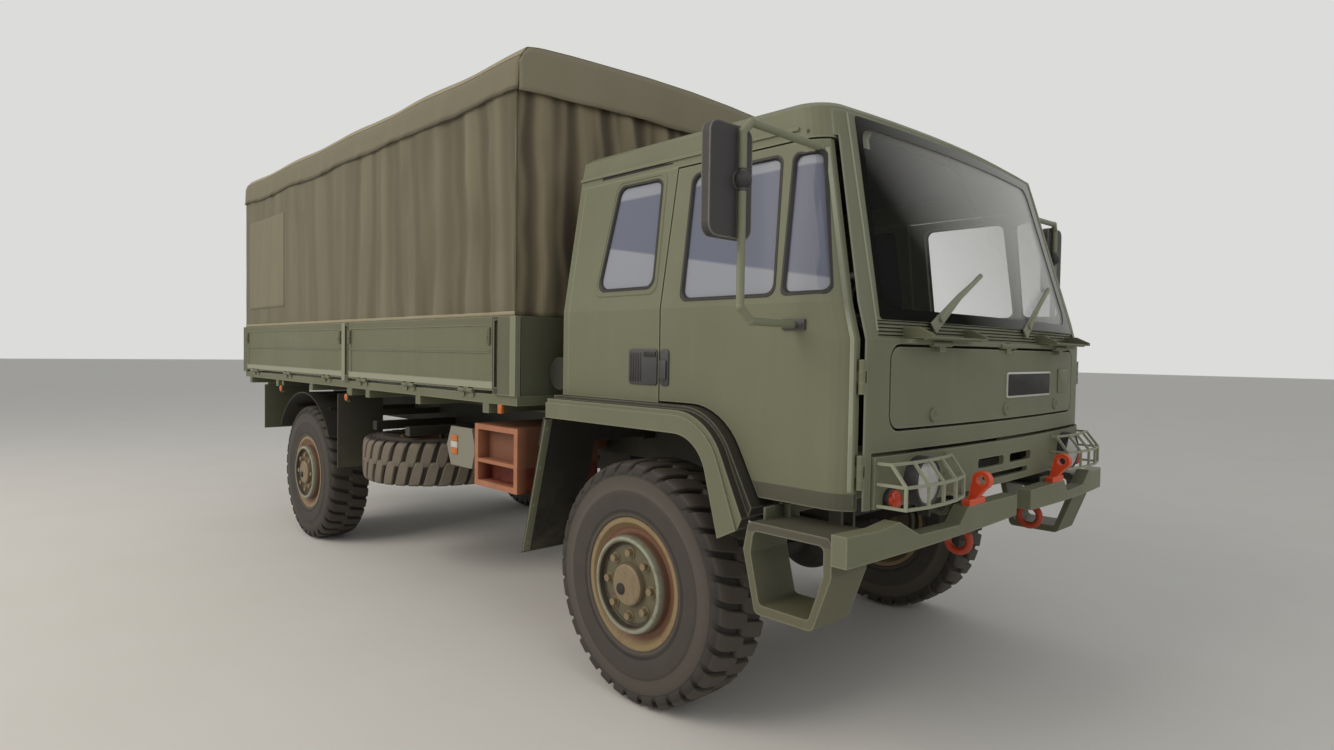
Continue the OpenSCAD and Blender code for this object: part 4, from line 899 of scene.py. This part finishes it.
def roof_height(y):
    """Height of the cover over a place across the truck."""
    for a, b in zip(ROOF_LINE, ROOF_LINE[1:]):
        if b.x > a.x >= 0 and a.x <= abs(y) <= b.x:
            return a.y + (b.y - a.y) * (abs(y) - a.x) / (b.x - a.x)
    return float(EAVES_Z)


def end_rule(x_edge, hem, u, v):
    """Down from the roof's end to an arched wavy hem."""
    y = (u - END_WIDTH / 2) * 1000
    fall = 1 - v / END_DROP
    low = hem - 30 * (y / EAVES_Y) ** 2 + 8 * ripple(y / 330, 0.0, 7.0 + x_edge) - roof_height(y)
    out = 6 + 10 * wave(y, 400, 0.7) * fall * (1 - (abs(y) / EAVES_Y) ** 6)
    return at(x_edge + (out if x_edge > -3000 else -out), y, roof_height(y) - 3 + low * fall)


def roof_end(name, x_edge, hem, coat):
    rule = partial(end_rule, x_edge, hem)
    return sheet(name, END_WIDTH, END_DROP, 96, 8, rule, coat)


front_valance = roof_end("front_valance", -832, 2862, front_roof_canvas)
rear_valance = roof_end("rear_valance", -5388, 2920, roof_canvas)
print("end valances hung")

# %% [markdown]
# The side curtains hang from the eaves to the top of the drop sides. The cloth is wider than the
# side, so it falls in upright folds that open downwards, strongest near the front corner where
# spare cloth is tied back.

# %% Side curtains
SIDE_BACK = -5388
SIDE_FOOT = 1706.8
SIDE_LENGTH = 4.538


def fold(x, z, seed):
    """From 0 in a valley to 1 on a ridge: folds that wander, lean and taper, narrow ones between."""
    lean_mm = 0.2 * (z - 2000) * ripple(x / 640, 0.3, seed)
    along = x + lean_mm + 110 * ripple(x / 430, z / 1700, seed + 1)
    main = wave(along, 352, seed) ** 1.5
    fine = wave(along + 45 * ripple(x / 160, z / 420, seed + 2), 141, 2.0 * seed) ** 2
    taper = 0.65 + 0.6 * ripple(x / 190, z / 560, seed + 5)
    return max(0.0, min(1.0, (0.74 * main + 0.3 * fine) * taper + 0.1))


def towards_front(x):
    """0 over the rear half, where the cloth is stretched, growing to 1 at the front corner."""
    return max(0.0, min(1.0, (x + 3700) / 2500))


def clear_of_bows(x):
    """How far a fold may sink inwards at a place: little at a bow, all of it between bows."""
    return max(0.15, min(1.0, (min(abs(x - b) for b in BOWS) - 30) / 130))


def side_rule(hand, u, v):
    """Folds sink inwards from the eaves' plane, more towards the front and the foot."""
    x = SIDE_BACK + u * 1000
    z = SIDE_FOOT + v * 1000
    deep = (7 + 25 * towards_front(x)) * clear_of_bows(x)
    under = min(1.0, max(0.0, (2930 - z) / 260))
    sink = deep * (1 - fold(x, z, 1.3 + hand)) * under
    return at(x, hand * (1213 - sink + 1.5 * ripple(x / 200, z / 260, 3.0)), z)


# Painted light on a side curtain: a highlight on fold ridges and shade in the valleys, stronger towards the
# front.
def side_tone(hand, u, v):
    x = SIDE_BACK + u * 1000
    return (2 * fold(x, SIDE_FOOT + v * 1000, 1.3 + hand) - 1) * (0.35 + 0.65 * towards_front(x))


for hand_name, hand in HANDS:
    made = sheet(
        "side_curtain_" + hand_name, SIDE_LENGTH, 1.246, 300, 60, partial(side_rule, hand), side_canvas,
        tone=partial(side_tone, hand),
    )
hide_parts("canopy_sides")

# %% [markdown]
# The curtain across the front is gathered hard towards its top corners, so its folds run down
# and outwards from there.

# %% Front curtain
FRONT_WIDTH = 2.424
FRONT_HALF = 1212
FRONT_FOOT = 1708


def crease(u, v):
    """Gathers that run down and outwards from the top corners, from 0 to 1."""
    y = (u - FRONT_WIDTH / 2) * 1000
    z = FRONT_FOOT + v * 1000
    drawn = y + 150 * math.copysign(1 - v / 1.24, y) * (1 - abs(y) / FRONT_HALF)
    fine = wave(drawn + 40 * ripple(y / 200, z / 300, 5.0), 121, 0.2) ** 2
    return 0.6 * wave(drawn, 268, 0.9) ** 2 + 0.4 * fine


def front_rule(u, v):
    y = (u - FRONT_WIDTH / 2) * 1000
    z = FRONT_FOOT + v * 1000
    deep = 8 + 26 * math.sin(math.pi * min(1.0, abs(y) / FRONT_HALF)) ** 0.5
    ease = min(1.0, (2955 - z) / 160)
    return at(-862 + deep * crease(u, v) * max(0.15, ease), y, z)


# Its tone paints a highlight on the gathers and shade between them.
front_curtain = sheet(
    "front_curtain", FRONT_WIDTH, 1.243, 170, 44, front_rule, front_canvas,
    tone=lambda u, v: 1.9 * crease(u, v) - 1,
)
print("front curtain gathered")

# %% [markdown]
# Hems and patches are sewn on: a dark strip along each valance's hem, which is painted shadow
# under the valance, a pale strip on the roof's rounded edge at the eaves, which is a painted
# highlight, a pale hem at the foot of each curtain and a square of newer cloth near the rear of each side.

# %% Hems, eaves and patches
STRIP = 0.03


def hem_rule(hand, low, wide, u, v):
    """A strip along the roof, from low metres above the valance's hem."""
    s = low + wide * v / STRIP
    spot = roof_rule(s if hand < 0 else ROOF_WIDTH - s, u)
    spot.y += hand * 0.0035
    return spot


def sewn_rule(hand, along, up, lift, u, v):
    """Cloth that lies on a side curtain, from a place along and up its cut."""
    spot = side_rule(hand, along + u, up + v)
    spot.y += hand * lift
    return spot


for hand_name, hand in HANDS:
    # A dark strip under the valance's hem: painted shadow.
    rule = partial(hem_rule, hand, 0.0, 0.016)
    edge = sheet("valance_shadow_" + hand_name, ROOF_LENGTH, STRIP, 150, 2, rule, valance_shadow_canvas, 3.0)
    # A pale strip over the roof's rounded edge: painted highlight.
    rule = partial(hem_rule, hand, 0.18, 0.054)
    ridge = sheet("eaves_highlight_" + hand_name, ROOF_LENGTH, STRIP, 150, 2, rule, hem_canvas, 3.0)
    rule = partial(sewn_rule, hand, 0.0, 0.0, 0.0035)
    foot = sheet("curtain_hem_" + hand_name, SIDE_LENGTH, 0.024, 300, 2, rule, hem_canvas, 3.0)
    rule = partial(sewn_rule, hand, 0.12, 0.16, 0.004)
    patch = sheet("sewn_patch_" + hand_name, 0.92, 0.78, 46, 30, rule, patch_canvas, 3.0)
print("hems and patches sewn")

# %% [markdown]
# The seats are foam pads under dark cloth. Each pad starts as a box a little smaller than the
# seat, is cut into an even net and blown up like a cushion by a short cloth simulation, so that
# its faces crown and its sides draw in between the corners. A steel plinth carries them.

# %% Padded seats
SWELL_MM = 14
BLOW_FRAMES = 20
seat = Finish("woven_seat_cloth", "#3A3833", 0.88)
seat.lay(seat.speckle(180, 0.4, 0.7, 5.0), "#4A473F", 0.5)
basket = seat.weave(32.0, seat.place)
seat.lay(basket, "#23211E", 0.3)
seat.feed({"Sheen Weight": 0.2})
seat_cloth = seat.done(basket, 0.35, 1.5)


def bake(made):
    """Makes an object's modified shape its own."""
    baked = bpy.data.meshes.new_from_object(made.evaluated_get(bpy.context.evaluated_depsgraph_get()))
    made.modifiers.clear()
    made.data = baked


def blow_up(made):
    """Swells a closed net by a cloth simulation, no point further than the limit."""
    start = [v.co.copy() for v in made.data.vertices]
    cloth = made.modifiers.new("blow", "CLOTH")
    cloth.settings.quality = 5
    cloth.settings.use_pressure = True
    cloth.settings.uniform_pressure_force = 4.0
    cloth.settings.effector_weights.gravity = 0.0
    cloth.point_cache.frame_start = 1
    cloth.point_cache.frame_end = BLOW_FRAMES
    for step in range(1, BLOW_FRAMES + 1):
        bpy.context.scene.frame_set(step)
    bake(made)
    bpy.context.scene.frame_set(1)
    for v, was in zip(made.data.vertices, start):
        move = v.co - was
        if move.length > SWELL_MM / 1000:
            v.co = was + move.normalized() * SWELL_MM / 1000


def pad(name, low, high, lean_deg):
    """A cushion between two corners, leaned about its middle and blown up."""
    shape = bmesh.new()
    put_box(shape, low, high, Matrix.Rotation(math.radians(lean_deg), 4, "Y"))
    bevel(shape, shape.edges[:], 22, 3)
    made = as_object(name, shape)
    net = made.modifiers.new("net", "REMESH")
    net.mode = "VOXEL"
    net.voxel_size = 0.011
    bake(made)
    blow_up(made)
    for face in made.data.polygons:
        face.use_smooth = True
    made.data.materials.append(seat_cloth)
    fine = made.modifiers.new("fine", "SUBSURF")
    fine.levels = 1
    fine.render_levels = 1
    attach(made, "cab")


for who, y0, y1 in (("driver", -795, -325), ("passenger", 65, 875)):
    pad(who + "_cushion", at(-240, y0, 1506), at(235, y1, 1592), 1.0)
    pad(who + "_back", at(-335, y0, 1600), at(-235, y1, 2145), -9.0)
plinths = bmesh.new()
for y, half in ((-560, 220), (470, 390)):
    put_box(plinths, at(-240, y - half, 1354), at(200, y + half, 1486))
    put_box(plinths, at(-262, y - half, 1484), at(240, y + half, 1494))
    for side in (-1, 1):
        put_rod(plinths, at(-245, y + side * half, 1488), at(-345, y + side * half, 2120), 0.011)
piece("seat_frames", plinths, frame_paint, "cab", 3.0, replaces=["seats"])
print("seat pads: 4")

# %% [markdown]
# A head lamp is a plated bowl, a bulb holder, a ribbed glass and a painted ring. The indicators
# and tail lamps are coloured plastic domes on rubber feet. All are turned forms, so each is an
# outline spun about the lamp's own axis and set into the hole in the lamp panel.

# %% Lamps
MARKERS_X = (-3010, -4411)
HEAD_LAMP = [
    ("_bowl", plated, [
        (0, 12), (30, 14), (58, 30), (76, 60), (82, 88), (84, 90), (78, 58), (60, 26), (32, 8), (0, 6),
    ]),
    ("_bulb", plated, [(0, 14), (15, 14), (15, 40), (11, 52), (0, 56)]),
    ("_glass", head_glass, [
        (0, 111), (30, 109), (58, 104), (78, 96), (83, 90), (79, 90), (56, 99), (28, 105), (0, 107),
    ]),
    ("_ring", mirror_grey, [
        (81, 84), (81, 97), (85, 100), (90, 97), (91.5, 88), (91.5, 20), (60, 2), (0, 0), (0, 4), (58, 6),
        (87, 26),
    ]),
]
INDICATOR = [
    ("_foot", seal_rubber, [(0, 0), (39.5, 0), (39.5, 62), (35, 66), (0, 66)]),
    ("_lens", signal_lens, [(0, 66), (35, 66), (35, 76), (28, 84), (14, 87), (0, 88)]),
]
TAIL_FOOT = ("_foot", seal_rubber, [(0, 0), (42, 0), (42, 10), (36, 13), (0, 13)])
TAIL_DOME = [(0, 13), (36, 13), (36, 20), (28, 25), (0, 26)]
MARKER = [
    ("_foot", seal_rubber, [(0, 0), (29, 0), (29, 8), (26, 10), (0, 10)]),
    ("_lens", amber_lens, [(0, 10), (25, 10), (25, 16), (18, 21), (0, 22)]),
]


def lamp(name, spot, forms):
    """A lamp of several turned forms: (suffix, coat, outline)."""
    for suffix, coat, outline in forms:
        shape = bmesh.new()
        put_turned(shape, outline, spot)
        piece(name + suffix, shape, coat, "chassis", 0, 40)


for hand_name, hand in HANDS:
    lamp("head_lamp_" + hand_name, aim(at(1040, hand * 725, 1080), (1, 0, 0)), HEAD_LAMP)
    lamp("indicator_" + hand_name, aim(at(1030, hand * 898, 1030), (1, 0, 0)), INDICATOR)
    for count, (y, coat) in enumerate(((980, red_lens), (860, amber_lens))):
        spot = aim(at(-5354, hand * y, 1190), (-1, 0, 0))
        lamp("tail_lamp_%s_%d" % (hand_name, count), spot, [TAIL_FOOT, ("_lens", coat, TAIL_DOME)])
    for count, x in enumerate(MARKERS_X):
        lamp("side_marker_%s_%d" % (hand_name, count), aim(at(x, hand * 1201, 1182), (0, hand, 0)), MARKER)
    plates = [(at(x - 20, hand * 1194, 1150), at(x + 20, hand * 1202, 1252)) for x in MARKERS_X]
    plates.append((at(-5355, hand * 800, 1140), at(-5343, hand * 1040, 1251)))
    box_piece("marker_brackets_" + hand_name, olive_paint, "chassis", 2.0, "paint", *plates)
    corners = (at(-990, hand * 1204, 1205), at(-952, hand * 1222, 1252))
    made = box_piece("corner_marker_" + hand_name, amber_lens, "chassis", 3.0, "lens", corners)
    if hand < 0:
        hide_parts("lamps")
print("lamps lit by daylight only")

# %% [markdown]
# Trim has to lie on the cab's skin, which leans, narrows upwards and turns round its corners.
# Two functions carry a flat outline onto that skin, one for the sides and one for the front, and
# two more make a ring or a plate from the outline.

# %% On the cab's skin
BELT_Z = 1720
HEAD_Z = 2372
BELT_HALF = 1098.0
HEAD_HALF = 993.0
SCREEN_FOOT = 1590
SCREEN_LEAN = 0.2587
CORNER = 130


def rounded(corners, radius, steps=6):
    """Corner points with each corner turned into an arc, all in millimetres."""
    out = []
    count = len(corners)
    for i in range(count):
        before, here, after = (Vector(corners[j % count]) for j in (i - 1, i, i + 1))
        a = (before - here).normalized()
        b = (after - here).normalized()
        half = a.angle(b) / 2
        middle = here + (a + b).normalized() * radius / math.sin(half)
        first = here + a * radius / math.tan(half) - middle
        swing = first.angle_signed(here + b * radius / math.tan(half) - middle)
        for step in range(steps + 1):
            share = -swing * step / steps
            c, s = math.cos(share), math.sin(share)
            out.append(middle + Vector((first.x * c - first.y * s, first.x * s + first.y * c)))
    return out


def half_width(z):
    """Half the cab's width: upright to the belt, drawn in to the head of the windows and above."""
    if z < BELT_Z:
        return BELT_HALF
    return BELT_HALF - (z - BELT_Z) * 105 / 652 if z < HEAD_Z else HEAD_HALF - (z - HEAD_Z) * 18 / 86


def lean(z):
    """The middle of the cab's front: upright to the screen's foot, then leaning back."""
    return 1105 - max(0.0, z - SCREEN_FOOT) * SCREEN_LEAN


def side_skin(hand, lift):
    """Carries a point of the side outline (x, z) onto the cab's skin, lifted outwards."""

    def carry(p):
        bend = max(0.0, p.x - (lean(p.y) - 175))
        y = half_width(p.y) - CORNER + math.sqrt(max(0.0, CORNER ** 2 - bend ** 2))
        return at(p.x, hand * (y + lift), p.y)

    return carry


def front_skin(lift):
    """Carries a point of the front outline (y, z) onto the bowed front, lifted forwards."""

    def carry(p):
        return at(lean(p.y) - 45 * (p.x / (half_width(p.y) - CORNER)) ** 2 + lift, p.x, p.y)

    return carry


def put_ring(shape, outline, carry, section):
    """A ring that follows an outline on a skin; section lists how far out and how high it runs."""
    loops = []
    for grow, lift in section:
        skin = carry(lift)
        verts = [shape.verts.new(skin(p)) for p in outline(-grow)]
        loops.append([shape.edges.new((verts[i - 1], verts[i])) for i in range(len(verts))])
    for a, b in zip(loops, loops[1:]):
        bmesh.ops.bridge_loops(shape, edges=a + b)


def put_slab(shape, outline, carry, depth):
    """A plate with a given outline, laid on a skin and raised by depth millimetres."""
    low = [shape.verts.new(carry(-1.0)(p)) for p in outline]
    raised = bmesh.ops.extrude_face_region(shape, geom=[shape.faces.new(low)])["geom"]
    for v in [g for g in raised if isinstance(g, bmesh.types.BMVert)]:
        v.co = carry(depth)(outline[0]) - carry(-1.0)(outline[0]) + v.co


def plate_piece(name, coat, body, bevel_mm, box, radius, carry, depth):
    """A piece that is one rounded plate, from (low, foot, high, top)."""
    low, foot, high, top = box
    shape = bmesh.new()
    put_slab(shape, rounded([(low, foot), (high, foot), (high, top), (low, top)], radius), carry, depth)
    piece(name, shape, coat, body, bevel_mm)


def put_bolt(shape, spot, direction, radius, height):
    """A hexagon head on a washer."""
    washer = (20, radius * 1.5, height * 0.25, height * 0.1)
    for sides, r, h, up in (washer, (6, radius, height, height * 0.5)):
        bmesh.ops.create_cone(
            shape, cap_ends=True, segments=sides, radius1=r / 1000, radius2=r / 1000 * 0.96, depth=h / 1000,
            matrix=aim(spot, direction) @ Matrix.Translation((0, 0, up / 1000)),
        )


print("skin helpers ready")

# %% [markdown]
# Window panes sit in black rubber strips. A strip is a flat ring round the window's outline: some
# loops of points, bridged all round, with a lip outside the glass and one inside. The screen has
# no strip. It is bonded in, and its dark edge overlaps the frame.

# %% Window seals
SEAL = [(5, -2.0), (5, 2.5), (2, 4.0), (-5, 2.5), (-10, -9.0)]
PRESSING = [(30, -1.5), (27, 4.0), (22, 5.0), (17, 4.0), (14, -1.5)]
OVERLAP = [(-9, -5.0), (0, 2.0), (1, 3.0), (1, -1.5)]
ARC_POINTS = 7


def window(corners, radius):
    """An outline that shrinks by g on all sides; corners run round from the low rear one."""
    inward = ((1, 1), (-1, 1), (-1, -1), (1, -1))
    return lambda g: rounded([(x + i * g, z + k * g) for (x, z), (i, k) in zip(corners, inward)], radius)


vent_window = window([(735, 1752), (946, 1752), (836, 2278), (717, 2278)], 26)
main_window = window([(211, 1750), (701, 1750), (662, 2284), (192, 2284)], 40)
quarter_window = window([(-345, 1812), (32, 1812), (5, 2298), (-285, 2298)], 45)
screen_window = window([(-905, 1696), (905, 1696), (785, 2412), (-785, 2412)], 70)
screen_frame = rounded([(-930, 1663), (930, 1663), (811, 2438), (-811, 2438)], 14)


def screen_border(g):
    """From the glass out to nearly square corners; the long sides get more points for the bow."""
    outline = screen_window(g) if g >= 0 else screen_frame
    out = []
    for i, p in enumerate(outline):
        out.append(p)
        if i % ARC_POINTS == ARC_POINTS - 1:
            out += [p.lerp(outline[(i + 1) % len(outline)], share / 20) for share in range(1, 20)]
    return out


def ring_piece(name, coat, body, outlines, carry, section):
    shape = bmesh.new()
    for outline in outlines:
        put_ring(shape, outline, carry, section)
    piece(name, shape, coat, body, 0, 60)


for hand_name, hand in HANDS:
    skin = partial(side_skin, hand)
    panes = (main_window, vent_window)
    ring_piece("door_seals_" + hand_name, seal_rubber, "door_" + hand_name, panes, skin, SEAL)
    pane = (quarter_window,)
    ring_piece("quarter_seal_" + hand_name, seal_rubber, "cab", pane, skin, SEAL)
    ring_piece("quarter_pressing_" + hand_name, olive_paint, "cab", pane, skin, PRESSING)
ring_piece("screen_edge", screen_edge, "cab", (screen_border,), front_skin, OVERLAP)
print("seals fitted")

# %% [markdown]
# Small fittings finish the doors: grey handle plates, one half on the door and one on the cab,
# whose slots and notch are black bars of painted shade; feet for the mirror arms; and the mirror
# glass itself, which faces the driver.


# %% Door and mirror fittings
def mirror_skin(hand, lift):
    """The back of a mirror case, raised towards the driver."""
    return lambda p: at(738.5 - lift, hand * p.x, p.y)


for hand_name, hand in HANDS:
    skin = partial(side_skin, hand)
    door = "door_" + hand_name
    for owner, low, high in (("cab", -95, 86), (door, 106, 157)):
        name = "handle_plate_%s_%s" % (owner, hand_name)
        plate_piece(name, handle_grey, owner, 2.0, (low, 1393, high, 1547), 16, skin, 7)
    # Black bars on the cab's half of the plate: painted shade in its slots and in the notch at its top.
    bars = [(at(x, hand * 1097, 1405), at(x + 8, hand * 1107, 1532)) for x in range(-84, -19, 16)]
    bars.append((at(6, hand * 1097, 1515), at(80, hand * 1110, 1536)))
    box_piece("handle_slot_shade_" + hand_name, seal_rubber, "cab", 1.5, "trim", *bars)
    pull = bmesh.new()
    put_box(pull, at(112, hand * 1097, 1420), at(148, hand * 1113, 1500))
    put_bolt(pull, at(128, hand * 1105, 1412), (0, hand, 0), 6, 5)
    piece("door_pull_" + hand_name, pull, handle_grey, door, 5.0)
    feet = bmesh.new()
    put_box(feet, at(750, hand * 1096, 1622), at(850, hand * 1108, 1660))
    for x in (765, 835):
        put_bolt(feet, at(x, hand * 1108, 1641), (0, hand, 0), 7, 6)
    piece("mirror_foot_" + hand_name, feet, mirror_grey, door, 2.0)
    pane = (1340, 1935, 1510, 2270)
    behind = partial(mirror_skin, hand)
    plate_piece("mirror_pane_" + hand_name, mirror_face, door, 1.0, pane, 26, behind, 3)
print("door fittings added")

# %% [markdown]
# The front flap carries a bare number board, a filler hatch and three round catches. Blades lie
# across the screen's foot on the wiper trays.

# %% Front flap and wiper blades
board = (0, 1360, 520, 1472)
plate_piece("number_board", white_reflector, "front_flap", 1.5, board, 10, front_skin, 6)
board = (9, 1369, 511, 1463)
plate_piece("number_board_face", board_black, "front_flap", 1.0, board, 8, front_skin, 8)
hatch = bmesh.new()
put_slab(hatch, rounded([(650, 1368), (800, 1368), (800, 1484), (650, 1484)], 14), front_skin, 6)
for y in (-610, 0, 610):
    spot = aim(front_skin(0)(Vector((y, 1314))), (1, 0, 0))
    put_turned(hatch, [(0, 3), (11, 4), (15, 9), (22, 9), (27, 4), (28, -2)], spot, 28)
piece("flap_fittings", hatch, olive_paint, "front_flap", 2.0)

blades = bmesh.new()
for y in (-560, 260):
    for wide, start, end in ((44, (y - 60, 1640), (y + 190, 1772)), (24, (y + 190, 1772), (y + 440, 1880))):
        run = (Vector(end) - Vector(start)).normalized() * wide / 2
        root = Vector((-run.y, run.x))
        tip = root * 0.55
        corners = [Vector(start) - root, Vector(end) - tip, Vector(end) + tip, Vector(start) + root]
        put_slab(blades, corners, lambda lift: front_skin(lift + 9), 5)
piece("wiper_blades", blades, wiper_paint, "cab", 1.0)
print("front fittings added")

# %% [markdown]
# Dark linings cover the cab's inside: painted shade, so that it reads dark through the glass.
# Outside, a black strip under the gutter is painted shadow, pale strips along the door edges and
# the screen pillars are painted highlights, and a short stay holds each step.

# %% Shade linings, highlight strips and stays
DOOR_FRONT = 1025
HIGHLIGHT_WIDTH = 11
for hand_name, hand in HANDS:
    skin = partial(side_skin, hand)
    door = "door_" + hand_name
    # A black strip under the gutter: painted shadow.
    line = bmesh.new()
    put_slab(line, rounded([(-430, 2352), (772, 2352), (768, 2366), (-430, 2366)], 4), skin, 2)
    piece("gutter_shadow_" + hand_name, line, seal_rubber, "cab", 0.5)
    # Dark lining inside the door: painted shade.
    corners = (at(190, hand * 1048, 1385), at(900, hand * 1057, 1700))
    box_piece("door_shade_lining_" + hand_name, trim_plastic, door, 4.0, "trim", corners)
    # Pale strips along the door's front edge: painted highlight.
    edge = bmesh.new()
    for z0, z1 in ((1062, SCREEN_FOOT), (SCREEN_FOOT, BELT_Z), (BELT_Z, 2290)):
        x0, x1 = (DOOR_FRONT - max(0.0, z - SCREEN_FOOT) * SCREEN_LEAN for z in (z0, z1))
        outline = [Vector(c) for c in ((x0 - HIGHLIGHT_WIDTH, z0), (x0, z0), (x1, z1), (x1 - HIGHLIGHT_WIDTH, z1))]
        put_slab(edge, outline, skin, 2.5)
    piece("door_edge_highlight_" + hand_name, edge, guard_paint, door, 1.0)
    corners = (at(716, hand * 1150, 931), at(727, hand * 1036, 976))
    box_piece("step_stay_" + hand_name, deep_olive, "chassis", 2.0, "paint", corners)
    # Pale strips up the screen pillars: painted highlight.
    pillar_strip = bmesh.new()
    outline = [Vector((hand * y, z)) for y, z in ((958, 1620), (966, 1620), (861, 2440), (853, 2440))]
    put_slab(pillar_strip, outline if hand > 0 else outline[::-1], front_skin, 4)
    piece("pillar_highlight_" + hand_name, pillar_strip, guard_paint, "cab", 1.5)
# Dark linings on the cab's rear wall and roof: painted shade inside the cab.
corners = (at(-549, -1000, 1365), at(-540, 1000, 2330))
box_piece("rear_shade_lining", trim_plastic, "cab", 4.0, "trim", corners)
corners = (at(-530, -860, 2432), at(740, 860, 2442))
box_piece("roof_shade_lining", trim_plastic, "cab", 4.0, "trim", corners)
print("linings and beads added")

# %% [markdown]
# The load body carries latches at the ends of each drop side, reflectors on the pale plate by the
# battery box and a painted strip down the edge of each front mud flap. These are small, but the
# eye expects them.

# %% Body fittings
FLAP_LEAN = Matrix.Rotation(math.atan2(188, 692), 4, "Y")
for hand_name, hand in HANDS:
    for part, ends in (("front", (-1060, -2905)), ("rear", (-3081, -5275))):
        latches = bmesh.new()
        for x in ends:
            put_box(latches, at(x - 14, hand * 1229, 1560), at(x + 14, hand * 1241, 1650))
            put_rod(latches, at(x, hand * 1236, 1640), at(x, hand * 1236, 1570), 0.007)
            put_bolt(latches, at(x, hand * 1240, 1600), (0, hand, 0), 9, 7)
        name = "side_latches_%s_%s" % (part, hand_name)
        piece(name, latches, deep_olive, "side_%s_%s" % (hand_name, part), 2.0)
    strip = bmesh.new()
    put_box(strip, at(-688.2, hand * 1199, 513), at(-683.2, hand * 1158, 1213), FLAP_LEAN)
    for z in (-300, -100, 100, 300):
        put_bolt(strip, at(-684 + z * 0.262, hand * 1178, 863 + z * 0.965), (0.965, 0, -0.262), 6, 5)
    piece("flap_strip_" + hand_name, strip, olive_paint, "chassis", 1.0)
glasses = [(at(-1602, -1157, z - 18), at(-1530, -1149, z + 18)) for z in (948, 1021)]
box_piece("amber_reflectors", amber_lens, "chassis", 2.0, "lens", *glasses)
corners = (at(-1602, -1157, 967), at(-1530, -1149, 1002))
box_piece("white_reflector", white_reflector, "chassis", 2.0, "lens", corners)
print("body fittings added")

# %% Sizes and finish
low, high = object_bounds()
print("visual box:", [round(b - a, 3) for a, b in zip(low, high)])
